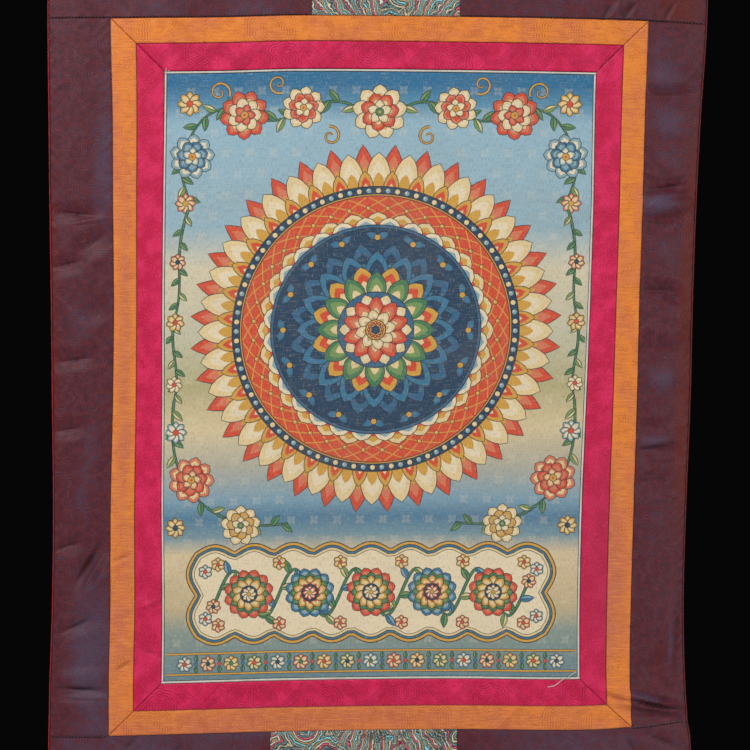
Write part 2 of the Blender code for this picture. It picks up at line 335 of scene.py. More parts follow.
def hung_x(x, z):
    """Where a flat place hangs from left to right."""
    lines = np.array(LINES)
    i = np.clip(np.searchsorted(lines, x) - 1, 0, len(lines) - 2)
    share = (x - lines[i]) / (lines[i + 1] - lines[i])
    columns = np.stack([hermite(HUNG_LINES, z, column + 1) for column in range(len(lines))])
    low = np.take_along_axis(columns, i[None], 0)[0]
    high = np.take_along_axis(columns, i[None] + 1, 0)[0]
    return (1 - share) * low + share * high


def sag(x, z):
    """How far the cloth stands above its flat place. It dies away towards the top edge and the hem."""
    upper = hermite(SAG, x, 1)
    lower = hermite(SAG, x, 2)
    share = (z + FRAME_Z) / (2 * FRAME_Z)
    between = lower + (upper - lower) * share
    above = upper * (TOP_Z - z) / UPPER_SECTION
    below = lower * (z - HEM_Z) / LOWER_SECTION
    return np.where(z > FRAME_Z, above, np.where(z < -FRAME_Z, below, between))


def patches(table, x, z):
    """The sum of soft humps placed by a table of (x, z, half length, half width, height, turn)."""
    total = np.zeros_like(x)
    for patch_x, patch_z, half_length, half_width, height, turn in table:
        c, s = math.cos(math.radians(turn)), math.sin(math.radians(turn))
        along = ((x - patch_x) * c + (z - patch_z) * s) / half_length
        across = ((z - patch_z) * c - (x - patch_x) * s) / half_width
        hump = np.clip(1 - along**2, 0, None) ** 2 * np.clip(1 - across**2, 0, None) ** 2
        total += height * hump
    return total


def relief(x, z):
    """How far the face of the cloth stands out towards the viewer."""
    height = patches(FOLDS, x, z)
    for edge in (x - LEFT_X, RIGHT_X - x):
        height -= EDGE_CURL * np.clip(1 - edge / EDGE_CURL_WIDTH, 0, None) ** 2
    return height


def ripple(x, z):
    """A small uneven wave, about 1 at its highest."""
    return (
        np.sin(x * 0.213 + 0.7 * np.sin(z * 0.051) + 1.3) * np.sin(z * 0.187 + 0.9 * np.sin(x * 0.043))
        + 0.6 * np.sin(x * 0.117 - z * 0.151 + 2.1)
        + 0.4 * np.sin(x * 0.391 + z * 0.277 + 0.4) * np.sin(z * 0.463 - x * 0.087)
    ) / 2


def hung(x, z, out=0):
    """Where flat places hang, in metres, as rows of x, y, z. out is the height above the plain face."""
    x, z = np.asarray(x, dtype=float), np.asarray(z, dtype=float)
    height = relief(x, z) + out
    return np.stack([hung_x(x, z), -height, z + sag(x, z) - TOP_Z], axis=-1) * MM


def named_mesh(name, vertices, faces):
    mesh = bpy.data.meshes.new(name)
    mesh.from_pydata(vertices, [], faces)
    mesh.update()
    return mesh


def add_piece(name, mesh, slot, *nodes, material=None):
    """A piece in the scene that rides on the root, takes the material of its slot and hides the solids it
    stands in for.
    """
    piece = bpy.data.objects.new(name, mesh)
    bpy.context.scene.collection.objects.link(piece)
    mesh.materials.append(material or MATERIALS[slot])
    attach(piece, "root")
    if nodes:
        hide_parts(*nodes)
    return piece


def spaced(length, cell):
    """Shares of a length from 0 to 1: close together near both ends, and even between them."""
    near = [0, 0.5, 1.1, 1.9, 3]
    if length < 4 * near[-1]:
        return np.linspace(0, 1, 2 + round(length / 1.5))
    middle = length - 2 * near[-1]
    steps = max(2, round(middle / cell))
    between = [near[-1] + middle * i / steps for i in range(1, steps)]
    ends = [length - step for step in reversed(near)]
    return np.array(near + between + ends) / length


def edge_distance(x, z, corners):
    """How far each flat place lies inside a four-cornered panel's nearest edge."""
    nearest = np.full_like(x, np.inf)
    for (ax, az), (bx, bz) in zip(corners, corners[1:] + corners[:1]):
        length = math.hypot(bx - ax, bz - az)
        across = np.abs((x - ax) * (bz - az) - (z - az) * (bx - ax)) / length
        nearest = np.minimum(nearest, across)
    return nearest


def sewn_height(x, z, corners, seam_drop=SEAM_DROP):
    """How far a panel's face lies over the plain cloth: ripples, creases and an edge that turns down."""
    inside = edge_distance(x, z, corners)
    out = PUCKER * ripple(x * 3.1, z * 3.1) * np.exp(-inside / PUCKER_REACH)
    out += RIPPLE * ripple(x, z) + patches(CREASES, x, z)
    return out - seam_drop * np.clip(1 - inside / SEAM_WIDTH, 0, None) ** 2


def signed_area(outline):
    """The area of a flat outline, above 0 where it runs anticlockwise."""
    x, z = np.asarray(outline).T
    return (x * np.roll(z, -1) - np.roll(x, -1) * z).sum() / 2


def points_of_corners(mesh):
    """Which point of a mesh each corner of its faces stands on."""
    points = np.empty(len(mesh.loops), dtype=np.int32)
    mesh.loops.foreach_get("vertex_index", points)
    return points


def set_map(mesh, name, places):
    mesh.uv_layers.new(name=name).data.foreach_set("uv", places.ravel().astype(np.float32))


def cloth_panel(name, slot, corners, cell, turn_pattern=False, shift=(0, 0)):
    """A sewn panel over four flat corners, anticlockwise from the low left one, with a turned-down edge."""
    width = max(math.dist(corners[0], corners[1]), math.dist(corners[3], corners[2]))
    height = max(math.dist(corners[0], corners[3]), math.dist(corners[1], corners[2]))
    u, v = np.meshgrid(spaced(width, cell), spaced(height, cell))
    low_left, low_right, high_right, high_left = (np.array(corner)[:, None, None] for corner in corners)
    flat = (1 - v) * ((1 - u) * low_left + u * low_right) + v * ((1 - u) * high_left + u * high_right)
    x, z = flat.reshape(2, -1)
    seam_drop = FLAT_SEAM_DROP if slot == "dark_brocade" else SEAM_DROP
    face = hung(x, z, sewn_height(x, z, corners, seam_drop))
    reverse = face + np.array((0, SHEET * MM, 0))

    count = len(face)
    index = np.arange(count).reshape(u.shape)
    quads = np.stack([index[:-1, :-1], index[:-1, 1:], index[1:, 1:], index[1:, :-1]], axis=-1)
    quads = quads.reshape(-1, 4)
    rim = np.concatenate([index[0, :-1], index[:-1, -1], index[-1, :0:-1], index[:0:-1, 0]])
    rim_next = np.roll(rim, -1)
    rim_quads = np.stack([rim_next, rim, rim + count, rim_next + count], axis=-1)
    faces = np.concatenate([quads, quads[:, ::-1] + count, rim_quads])
    mesh = named_mesh(name, np.concatenate([face, reverse]), faces.tolist())
    mesh.shade_smooth()
    mesh.set_sharp_from_angle(angle=math.radians(60))

    # The maps: where the weave lies on the cloth, in millimetres, and where the panel lies on its own map
    points = points_of_corners(mesh)
    weave_place = np.stack([z, x] if turn_pattern else [x, z], axis=-1) + np.array(shift)
    set_map(mesh, "Cloth", weave_place[points % count])
    split = 0 if height >= width else 1
    share = np.stack([u.ravel(), v.ravel()], axis=-1)[points % count]
    place = MAP_MARGIN + np.where(np.arange(2) == split, MAP_HALF, MAP_WHOLE) * share
    place[4 * len(quads) : 8 * len(quads), split] += MAP_TO_REVERSE
    rim_back = np.arange(8 * len(quads), len(points))
    rim_back = rim_back[points[rim_back] >= count]
    place[rim_back] += np.where(share[rim_back] > 0.5, MAP_RIM, -MAP_RIM)
    set_map(mesh, "OFBake", place)
    # Painted shade: darker colour in the hollows of the creases and along every seam, where shade falls
    painted_shade = np.clip(-patches(CREASES, x, z), 0, None)
    painted_shade += SEAM_SHADE * np.clip(1 - edge_distance(x, z, corners) / SEAM_SHADE_WIDTH, 0, None)
    # The painted sheen of the two-tone silks, warm brown below 0, and the painted shade go to the materials
    for label, values in (("painted_sheen_and_tone", np.clip(patches(SHEEN_AND_TONE, x, z), -1, 1)), ("painted_shade", painted_shade)):
        attribute = mesh.attributes.new(label, "FLOAT", "POINT")
        attribute.data.foreach_set("value", np.tile(values, 2).astype(np.float32))

    piece = add_piece(f"{name}_cloth", mesh, slot, name)


def srgb(red, green, blue):
    """A screen colour, 0 to 255, as the linear colour that a shader takes."""
    values = [v / 255 for v in (red, green, blue)]
    return tuple(v / 12.92 if v <= 0.04045 else ((v + 0.055) / 1.055) ** 2.4 for v in values) + (1,)


class Value:
    """A number or a colour that a material's nodes work out. It takes part in sums like a number."""

    def __init__(self, weave, socket):
        self.weave, self.socket = weave, socket

    def math(self, operation, *others):
        return self.weave.math(operation, self, *others)

    def __add__(self, other):
        return self.math("ADD", other)

    def __sub__(self, other):
        return self.math("SUBTRACT", other)

    def __rsub__(self, other):
        return self.weave.math("SUBTRACT", other, self)

    def __mul__(self, other):
        return self.math("MULTIPLY", other)

    def __truediv__(self, length):
        return self * (1 / length)

    def smooth(self, low, high, start=0, end=1):
        """A soft step from start to end as the value goes from low to high."""
        inputs = dict(enumerate((self, low, high, start, end)))
        return self.weave.node("ShaderNodeMapRange", inputs, interpolation_type="SMOOTHSTEP")

    def lines(self, pitch, width):
        """1 on lines one pitch apart in the value, each about width wide, and 0 between them."""
        return self.math("PINGPONG", pitch / 2).smooth(width * 0.3, width * 0.8, 1, 0)


class Weave:
    """The nodes of one material. An input is a number, a colour or a Value."""

    def __init__(self, name, roughness, sheen, sheen_tint=(1, 1, 1, 1), specular=0.2):
        self.material = bpy.data.materials.new(name)
        self.material.use_nodes = True
        self.tree = self.material.node_tree
        self.shader = self.tree.nodes["Principled BSDF"]
        surface = {"Roughness": roughness, "Specular IOR Level": specular}
        surface |= {"Sheen Weight": sheen, "Sheen Roughness": 0.45, "Sheen Tint": sheen_tint}
        for key, value in surface.items():
            self.put(self.shader.inputs[key], value)

    def put(self, socket, value):
        if isinstance(value, Value):
            self.tree.links.new(value.socket, socket)
        else:
            socket.default_value = value

    def node(self, kind, inputs, output=0, **settings):
        """One output of a new node with these inputs and settings."""
        node = self.tree.nodes.new(kind)
        for key, value in settings.items():
            setattr(node, key, value)
        for key, value in inputs.items():
            self.put(node.inputs[key], value)
        return Value(self, node.outputs[output])

    def split(self, vector):
        """The three parts of a place or a colour."""
        first = self.node("ShaderNodeSeparateXYZ", {0: vector})
        return [Value(self, part) for part in first.socket.node.outputs]

    def cloth_place(self):
        """The flat place on the cloth, in millimetres."""
        return self.split(self.node("ShaderNodeUVMap", {}, uv_map="Cloth"))[:2]

    def object_place(self):
        """The place on the hanging cloth, in metres."""
        return self.split(self.node("ShaderNodeTexCoord", {}, "Object"))

    def attribute(self, name, output="Fac"):
        return self.node("ShaderNodeAttribute", {}, output, attribute_name=name)

    def math(self, operation, *values):
        return self.node("ShaderNodeMath", dict(enumerate(values)), operation=operation)

    def noise(self, x, z, detail, seed):
        """Noise about 0.5 with features one unit wide."""
        place = self.node("ShaderNodeCombineXYZ", {0: x, 1: z, 2: seed})
        return self.node("ShaderNodeTexNoise", {"Vector": place, "Scale": 1, "Detail": detail}, "Fac")

    def cells(self, x, z, size, seed):
        """How far the nearest of some scattered places is, and a chance value that each place has."""
        place = self.node("ShaderNodeCombineXYZ", {0: x / size + seed, 1: z / size})
        inputs = {"Vector": place, "Scale": 1, "Randomness": 0.85}
        distance = self.node("ShaderNodeTexVoronoi", inputs, "Distance", voronoi_dimensions="2D")
        colour = Value(self, distance.socket.node.outputs["Color"])
        return distance * size, self.split(colour)[0]

    def mix(self, share, a, b):
        return self.node("ShaderNodeMix", {0: share, 6: a, 7: b}, 2, data_type="RGBA")

    def mix_value(self, share, a, b):
        return a * (1 - share) + b * share

    def layers(self, colour, *layers):
        """A colour with others laid over it, each by a share from 0 to 1."""
        for share, shade in layers:
            colour = self.mix(share, colour, srgb(*shade))
        return colour

    def ramp(self, value, stops, interpolation="LINEAR"):
        colour = self.node("ShaderNodeValToRGB", {0: value})
        colour_ramp = colour.socket.node.color_ramp
        colour_ramp.interpolation = interpolation
        elements = colour_ramp.elements
        elements[0].position, elements[0].color = stops[0]
        elements[1].position, elements[1].color = stops[-1]
        for place, shade in stops[1:-1]:
            elements.new(place).color = shade
        return colour

    def threads(self, x, z, across=0.55, along=7):
        """The relief of the woven threads, about 0.5: short across each thread and long along it."""
        weft = self.noise(x / along, z / across, 1, 3.7)
        warp = self.noise(x / across, z / along, 1, 9.1)
        return (weft + warp) * 0.5

    def finish(self, colour, height, depth=0.1):
        """The material in that colour, with a bump of that height times depth in millimetres."""
        bump = self.node("ShaderNodeBump", {"Strength": 1, "Distance": depth * MM, "Height": height})
        self.put(self.shader.inputs["Base Color"], colour)
        self.put(self.shader.inputs["Normal"], bump)
        return self.material


def rings_round_places(weave, x, z, cell, pitch, wobble, seed):
    """Nested rings round scattered places, one cell apart. They meet where two places are as near."""
    bend = (weave.noise(x / (cell / 3), z / (cell / 3), 1, seed) - 0.5) * wobble
    distance, _ = weave.cells(x + bend, z, cell, seed)
    return (distance + bend).lines(pitch, pitch * 0.4)


def hatching(weave, x, z, cell, pitch, seed):
    """Groups of short parallel lines, each group in a direction of its own."""
    _, chance = weave.cells(x, z, cell, seed)
    angle = chance.math("SNAP", 0.125) * (2 * math.pi)
    return (x * angle.math("COSINE") + z * angle.math("SINE")).lines(pitch, pitch * 0.45)


def medallion(x, z, radius, pitch, lobes):
    """Ring lines of a lobed medallion around the place where x and z are 0, and where it reaches."""
    lobe = (z.math("ARCTAN2", x) * (lobes / 2)).math("SINE").math("ABSOLUTE")
    distance = (x * x + z * z).math("SQRT") - lobe * 1.8
    reach = distance.smooth(radius - 1, radius + 1, 1, 0)
    return distance.lines(pitch, 1.1) * reach, reach


def fret(x, z, step):
    """A zigzag of triple lines that climbs one step in z for each step in x."""
    away = (z + step / 2 - x.math("PINGPONG", step)).math("ABSOLUTE")
    return away.lines(2.9, 1.1) * away.smooth(6.2, 6.8, 1, 0)


def dark_brocade():
    """Tone-on-tone hatching and nested rings on a mottled ground, with painted violet sheen, warm brown
    patches and painted shade in creases and seams.
    """
    weave = Weave("Dark brocade", 0.5, 0.05, srgb(190, 130, 150))
    x, z = weave.cloth_place()
    hatch = hatching(weave, x, z, 12, 2.3, 2)
    nested = rings_round_places(weave, x, z, 30, 2.9, 7, 8)
    figure = weave.mix_value(weave.noise(x / 26, z / 30, 1, 5).smooth(0.47, 0.53), nested, hatch)
    figure = figure * weave.noise(x / 9, z / 11, 2, 19).smooth(0.4, 0.64)
    cloudy = weave.noise(x / 38, z / 52, 3, 11)
    mottled = weave.noise(x / 5, z / 6, 3, 23)
    fibres = weave.noise(x / 0.9, z / 1.6, 2, 4)
    painted_sheen_and_tone = weave.attribute("painted_sheen_and_tone")
    # Painted violet sheen where the silk would turn in the light, broken up by random mottling
    violet = painted_sheen_and_tone + (cloudy - 0.5) * 1.1 + (mottled - 0.5) * 1.1
    colour = weave.layers(
        srgb(104, 45, 51),
        (mottled.smooth(0.35, 0.68), (82, 41, 52)),
        # Warm brown where the sheen table falls below 0
        (painted_sheen_and_tone.smooth(-0.9, -0.1, 0.9, 0), (108, 38, 26)),
        (violet.smooth(0.1, 1.1), (90, 73, 94)),
        (fibres.smooth(0.42, 0.75, 0, 0.6), (50, 26, 36)),
        (fibres.smooth(0.22, 0.42, 0.3, 0), (130, 84, 96)),
        (figure * 0.22, (120, 84, 108)),
        # Painted shade in the creases and along the seams
        (weave.attribute("painted_shade").smooth(0.1, 3.6, 0, 0.6), (44, 18, 26)),
    )
    return weave.finish(colour, weave.threads(x, z) + figure * 0.6)


def orange_damask():
    """Medallions with zigzag frets between them, over faint nested rings, on a streaked ground."""
    weave = Weave("Orange damask", 0.5, 0.04, srgb(255, 200, 150))
    x, z = weave.cloth_place()
    apart = 71
    across = (x + 38).math("PINGPONG", apart)
    rings, reach = medallion(across - apart, z, 25, 2.7, 8)
    zigzag = fret(across, z, 27) * across.smooth(apart - 34, apart - 30, 1, 0)
    nested = rings_round_places(weave, x, z, 17, 2.6, 4, 21)
    nested = nested * (1 - reach) * weave.noise(x / 14, z / 14, 1, 21).smooth(0.42, 0.56) * 0.7
    figure = rings.math("MAXIMUM", zigzag).math("MAXIMUM", nested)
    figure = figure * weave.noise(x / 9, z / 9, 2, 57).smooth(0.38, 0.6, 0.2, 1)
    grain = weave.noise(x / 1.5, z / 1.2, 2, 14)
    hanging_x, _, hanging_z = weave.object_place()
    streak = weave.noise(hanging_x / (16 * MM), hanging_z / (1.4 * MM), 2, 61)
    colour = weave.layers(
        srgb(248, 144, 56),
        (weave.noise(x / 34, z / 24, 2, 6).smooth(0.4, 0.64), (236, 134, 72)),
        # Painted sheen: dull rose where the silk would turn in the light
        (weave.attribute("painted_sheen_and_tone").smooth(0, 1, 0, 0.7), (200, 112, 96)),
        (grain.smooth(0.42, 0.8, 0, 0.5), (184, 104, 84)),
        (grain.smooth(0.2, 0.46, 0.5, 0), (255, 172, 82)),
        (streak.smooth(0.5, 0.72, 0, 0.5), (196, 102, 74)),
        (streak.smooth(0.28, 0.5, 0.5, 0), (252, 160, 70)),
        (figure * 0.5, (176, 80, 40)),
        # Painted shade in the creases and along the seams
        (weave.attribute("painted_shade").smooth(0.1, 3.6, 0, 0.7), (130, 52, 26)),
    )
    return weave.finish(colour, weave.threads(x, z) - figure * 0.7)


def crimson_damask():
    """Large and small medallions in turn with zigzag frets between them, over faint nested rings."""
    weave = Weave("Crimson damask", 0.52, 0.04, srgb(255, 150, 180))
    x, z = weave.cloth_place()
    apart = 84
    across = (x + 96).math("PINGPONG", apart)
    large, reach = medallion(across, z + 6, 20, 2.9, 10)
    small, small_reach = medallion(across - apart, z - 4, 14, 2.7, 6)
    open_ground = 1 - reach.math("MAXIMUM", small_reach) * 0.9
    nested = rings_round_places(weave, x, z, 19, 2.6, 11, 31) * open_ground * 0.4
    zigzag = fret(across, z, 21) * open_ground
    figure = large.math("MAXIMUM", small).math("MAXIMUM", nested).math("MAXIMUM", zigzag)
    figure = figure * weave.noise(x / 7, z / 7, 2, 54).smooth(0.34, 0.54, 0.35, 1)
    grain = weave.noise(x / 1.5, z / 1.2, 2, 24)
    colour = weave.layers(
        srgb(210, 28, 76),
        (weave.noise(x / 18, z / 18, 2, 16).smooth(0.38, 0.66), (234, 44, 98)),
        # Painted sheen: dull rose where the silk would turn in the light
        (weave.attribute("painted_sheen_and_tone").smooth(0, 1, 0, 0.6), (186, 44, 78)),
        (grain.smooth(0.5, 0.8, 0, 0.6), (240, 100, 132)),
        (grain.smooth(0.2, 0.44, 0.5, 0), (160, 14, 60)),
        (figure * 0.6, (140, 12, 60)),
        # Painted shade in the creases and along the seams
        (weave.attribute("painted_shade").smooth(0.1, 3.6, 0, 0.7), (92, 6, 40)),
    )
    return weave.finish(colour, weave.threads(x, z) - figure * 0.7)


def patch_brocade():
    """Fine wavy rays of many colours, broken by nested rings, with dark lines between."""
    weave = Weave("Patch brocade", 0.5, 0.04, specular=0.22)
    x, z = weave.cloth_place()
    drift = weave.noise(x / 11, z / 15, 2.5, 41) - 0.5
    rays = (x - 5).math("ARCTAN2", z.math("PINGPONG", 178) + 60) * 50 + drift * 8
    distance, _ = weave.cells(x + drift * 11, z + drift * 11, 36, 44)
    rings = (distance + drift * 7) / 2.3
    band = weave.mix_value(weave.noise(x / 34, z / 36, 0.5, 47).smooth(0.5, 0.52), rays, rings)
    shades = ((150, 236, 246), (160, 168, 156), (240, 222, 176), (112, 150, 152), (250, 92, 106))
    shades += ((232, 236, 222), (216, 164, 92))
    stops = [(round(i / len(shades), 2), srgb(*shade)) for i, shade in enumerate(shades)]
    line = band.lines(1, 0.5)
    murky = weave.noise(x / 30, z / 20, 1, 57).smooth(0.45, 0.6)
    fleck = weave.noise(x / 1.5, z / 1.2, 2, 51)
    darkest = z.smooth(0, FRAME_Z, 0.85, 0.45)
    colour = weave.layers(
        weave.ramp((band / len(shades)).math("FRACT"), stops, "CONSTANT"),
        (line * 0.9, (28, 38, 46)),
        ((fleck + murky * 0.16).smooth(0.56, 0.7, 0, darkest), (44, 58, 66)),
        (fleck.smooth(0.28, 0.42, 0.7, 0), (206, 226, 220)),
    )
    return weave.finish(colour, weave.threads(x, z) - line * 0.6, 0.14)


def picture_weave():
    """Matte silk in flat dyes, streaked along the weft, with faint warp threads."""
    weave = Weave("Woven picture", 0.62, 0.1)
    x, z = weave.cloth_place()
    ground = weave.ramp(z / PICTURE_HEIGHT + 0.5, GROUND_HEIGHTS)
    streak = weave.noise(x / 11, z, 2, 17)
    rib = weave.noise(x / 0.9, z / 5, 2, 27)
    colour = weave.layers(
        weave.mix(weave.attribute("Dye", "Alpha"), ground, weave.attribute("Dye", "Color")),
        (streak.smooth(0.5, 0.8, 0, 0.2), (84, 84, 84)),
        (streak.smooth(0.2, 0.5, 0.16, 0), (238, 218, 184)),
        (rib.smooth(0.48, 0.8, 0, 0.36), (96, 84, 78)),
        (rib.smooth(0.2, 0.46, 0.26, 0), (236, 222, 196)),
        (weave.noise(x / 70, z / 50, 2, 37).smooth(0.45, 0.75, 0, 0.1), (150, 130, 110)),
    )
    return weave.finish(colour, weave.threads(x, z, 0.7, 9), 0.12)


def cord_material(name, colour, crease, roughness, right_colour=None):
    """Mottled fibres from the crease colour to the plain one. The cord on the right can have its own."""
    weave = Weave(name, roughness, 0.2)
    x, _, z = weave.object_place()
    if right_colour is not None:
        colour = weave.mix(x.smooth(-0.1, 0.1), colour, right_colour)
    fibres = weave.noise((x + z) / (0.9 * MM), z / (1.2 * MM), 2, 3)
    mottled = weave.noise(x / (20 * MM), z / (20 * MM), 1, 7)
    shade = (fibres + mottled * 0.4).smooth(0.4, 0.95)
    return weave.finish(weave.mix(shade, crease, colour), fibres, 0.06)


# The dyes of the woven picture. The alpha of a dye is how much it covers the graded ground.
DYES = {
    "ink": srgb(44, 50, 62),
    "navy": srgb(40, 72, 100),
    "deep": srgb(60, 108, 142),
    "blue": srgb(66, 126, 158),
    "pale": srgb(142, 178, 188),
    "cream": srgb(240, 214, 160),
    "shell": srgb(244, 226, 190),
    "sand": srgb(214, 176, 118),
    "gold": srgb(222, 168, 74),
    "coral": srgb(224, 84, 58),
    "rose": srgb(226, 128, 96),
    "green": srgb(74, 132, 92),
    "moss": srgb(128, 160, 98),
    "ground tone": (*srgb(238, 226, 196)[:3], 0.17),
}
GROUND = (0.5, 0.5, 0.5, 0)
GROUND_HEIGHTS = (
    (0.00, srgb(110, 142, 152)),
    (0.08, srgb(146, 162, 152)),
    (0.12, srgb(208, 188, 148)),
    (0.21, srgb(228, 206, 166)),
    (0.24, srgb(126, 158, 170)),
    (0.27, srgb(88, 134, 162)),
    (0.30, srgb(134, 170, 188)),
    (0.36, srgb(192, 188, 168)),
    (0.42, srgb(230, 210, 166)),
    (0.49, srgb(192, 182, 136)),
    (0.58, srgb(210, 206, 178)),
    (0.68, srgb(226, 214, 182)),
    (0.75, srgb(160, 192, 204)),
    (0.92, srgb(158, 194, 210)),
    (0.95, srgb(92, 150, 182)),
    (0.98, srgb(48, 118, 160)),
)
MEDALLION = (0, 48)
DESIGN_MARGIN = 1.2
OUTLINE = 0.75
BORDER_STEP = 4.3
FRONT_CELL = 12
BACK_CELL = 28
REVERSE_DYE = srgb(168, 150, 128)


def turned(outline, angle, x=0, z=0):
    """An outline turned by degrees, anticlockwise, and then moved."""
    c, s = math.cos(math.radians(angle)), math.sin(math.radians(angle))
    return np.asarray(outline) @ np.array(((c, s), (-s, c))) + np.array((x, z))


def grown(outline, by):
    """An outline moved outward all round."""
    after, before = np.roll(outline, -1, axis=0), np.roll(outline, 1, axis=0)
    way = after - before
    way /= np.linalg.norm(way, axis=1)[:, None] + 1e-9
    return outline + by * np.stack([way[:, 1], -way[:, 0]], axis=-1)


def disc(x, z, radius, count=16):
    turn = np.linspace(0, 2 * math.pi, count, endpoint=False)
    return np.stack([x + radius * np.cos(turn), z + radius * np.sin(turn)], axis=-1)


def scallop(x, z, radius, lobes, depth, steps=7):
    """A circle with rounded lobes."""
    turn = np.linspace(0, 2 * math.pi, lobes * steps, endpoint=False)
    size = radius + depth * np.abs(np.sin(turn * lobes / 2))
    return np.stack([x + size * np.cos(turn), z + size * np.sin(turn)], axis=-1)


def petal(length, width, power=0.8, steps=8, start=0):
    """A petal that grows up from (0, start) to a tip. A low power makes it round and a high one pointed."""
    t = np.linspace(0, 1, steps + 1)
    half = width / 2 * np.sin(math.pi * (0.14 + 0.86 * t)) ** power
    half[-1] = 0
    right = np.stack([half, start + t * length], axis=-1)
    left = np.stack([-half[:-1], start + t[:-1] * length], axis=-1)[::-1]
    return np.concatenate([right, left])


def bezier(start, lead, follow, end, steps=14):
    t = np.linspace(0, 1, steps + 1)[:, None]
    a, b, c, d = (np.array(place, dtype=float) for place in (start, lead, follow, end))
    return a * (1 - t) ** 3 + 3 * b * t * (1 - t) ** 2 + 3 * c * t**2 * (1 - t) + d * t**3


def spiral(x, z, radius, start, turns, steps=22):
    """A curl that winds in from its start angle in degrees, anticlockwise where turns is above 0."""
    t = np.linspace(0, 1, steps + 1)
    turn = math.radians(start) + 2 * math.pi * turns * t
    size = radius * (1 - 0.82 * t)
    return np.stack([x + size * np.cos(turn), z + size * np.sin(turn)], axis=-1)


def stroke(points, width, end_width=None):
    """The outline of a line along points that narrows to its end width."""
    way = np.gradient(points, axis=0)
    way /= np.linalg.norm(way, axis=1)[:, None] + 1e-9
    side = np.stack([way[:, 1], -way[:, 0]], axis=-1)
    girth = np.linspace(width, width if end_width is None else end_width, len(points))[:, None] / 2
    return np.concatenate([points + side * girth, (points - side * girth)[::-1]])


class Drawing:
    """Flat shapes laid one over another, each of one dye. A string names the dyes of a flower or a leaf."""

    def __init__(self):
        self.shapes = []

    def lay(self, outline, dye):
        reach = np.array((PICTURE_X, PICTURE_Z)) - DESIGN_MARGIN
        self.shapes.append((np.clip(outline, -reach, reach), DYES[dye]))

    def inked(self, outline, dye, line=OUTLINE):
        self.lay(grown(outline, line), "ink")
        self.lay(outline, dye)

    def nested_petal(self, x, z, angle, start, length, width, dyes, power=0.8, steps=7):
        """A petal with a dark line round it and smaller petals of the other dyes inside."""
        outer, *inner = dyes.split()
        self.inked(turned(petal(length, width, power, steps, start), angle, x, z), outer)
        for share, dye in zip((0.8, 0.54, 0.3), inner):
            blade = petal(length * share, width * share * 0.92, power, max(4, steps - 2), start)
            self.lay(turned(blade, angle, x, z), dye)

    def petal_ring(self, centre, count, start, length, width, dyes, power=0.8, turn=0, steps=7):
        for i in range(count):
            self.nested_petal(*centre, turn + 360 * i / count, start, length, width, dyes, power, steps)

    def beads(self, centre, radius, count, size, dyes, turn=0):
        dyes = dyes.split()
        for i in range(count):
            angle = math.radians(turn + 360 * i / count)
            x, z = centre[0] + radius * math.sin(angle), centre[1] + radius * math.cos(angle)
            self.inked(disc(x, z, size, 9), dyes[i % len(dyes)], 0.6)
            self.lay(disc(x - size * 0.3, z + size * 0.3, size * 0.36, 6), "shell")

    def peony(self, x, z, radius, outer, inner, heart="gold", turn=0):
        """A full round flower: three rings of petals round a seeded heart."""
        core = " ".join(outer.split()[:2])
        self.petal_ring((x, z), 9, radius * 0.34, radius * 0.66, radius * 0.56, outer, 0.5, turn, 6)
        self.petal_ring((x, z), 7, radius * 0.2, radius * 0.5, radius * 0.46, inner, 0.5, turn + 20, 6)
        self.petal_ring((x, z), 5, radius * 0.06, radius * 0.38, radius * 0.32, core, 0.6, turn, 5)
        self.inked(disc(x, z, radius * 0.15, 10), heart, 0.6)
        self.lay(disc(x, z, radius * 0.06, 6), "coral" if heart == "gold" else "gold")

    def rosette(self, x, z, radius, dyes, heart, petals=8):
        width = radius * 4.4 / petals
        self.petal_ring((x, z), petals, radius * 0.2, radius * 0.8, width, dyes, 0.6, 0, 5)
        self.inked(disc(x, z, radius * 0.26, 9), heart, 0.5)

    def leaf(self, x, z, angle, length, width, dyes="green moss"):
        """A pointed leaf with one light half and a dark rib."""
        shade, light = dyes.split()
        blade = petal(length, width, 1.15, 7)
        self.inked(turned(blade, angle, x, z), shade, 0.6)
        half = blade.copy()
        half[:, 0] = np.clip(half[:, 0] * 0.8, None, -0.2)
        half[:, 1] = length * 0.04 + half[:, 1] * 0.92
        self.lay(turned(half[6:], angle, x, z), light)
        rib = np.array(((0, 0.5), (0, length * 0.4), (0, length * 0.86)))
        self.lay(turned(stroke(rib, 0.7, 0.3), angle, x, z), "ink")

    def stem(self, points, dye="green", width=2.0, end_width=1.2):
        self.lay(stroke(points, width + 1.3, end_width + 1.2), "ink")
        self.lay(stroke(points, width, end_width), dye)

    def leaves(self, points, places, lean, length, width, shades):
        """Leaves at some of a stem's points, which stand out on its two sides in turn."""
        way = np.gradient(points, axis=0)
        for i, at in enumerate(places):
            heading = math.degrees(math.atan2(-way[at, 0], way[at, 1]))
            self.leaf(*points[at], heading + (lean if i % 2 else -lean), length, width, shades[i % 3])

    def leafy_stem(self, *curve, leaves, length, steps=14):
        points = bezier(*curve, steps)
        self.stem(points)
        places = [1 + round((len(points) - 3) * i / (leaves - 1)) for i in range(leaves)]
        self.leaves(points, places, 48, length, length * 0.42, ("moss cream", "green moss", "green moss"))


def mirrored(outline):
    """An outline on the other side of the picture's upright middle."""
    return (np.asarray(outline) * np.array((-1, 1)))[::-1]


def draw_ground(drawing):
    """Small quatrefoils in rows all over the ground, a shade lighter than it."""
    step_x, step_z, clear = 23.2, 20.4, 186
    for row in range(-14, 15):
        for column in range(-9, 10):
            x, z = (column + 0.5 * (row % 2)) * step_x, row * step_z
            on_medallion = math.dist((x, z), MEDALLION) < clear
            if on_medallion or abs(x) > PICTURE_X - 7 or abs(z) > PICTURE_Z - 7:
                continue
            for k in range(4):
                drawing.lay(turned(petal(5, 3.8, 0.8, 4, 0.7), 90 * k + 45, x, z), "ground tone")


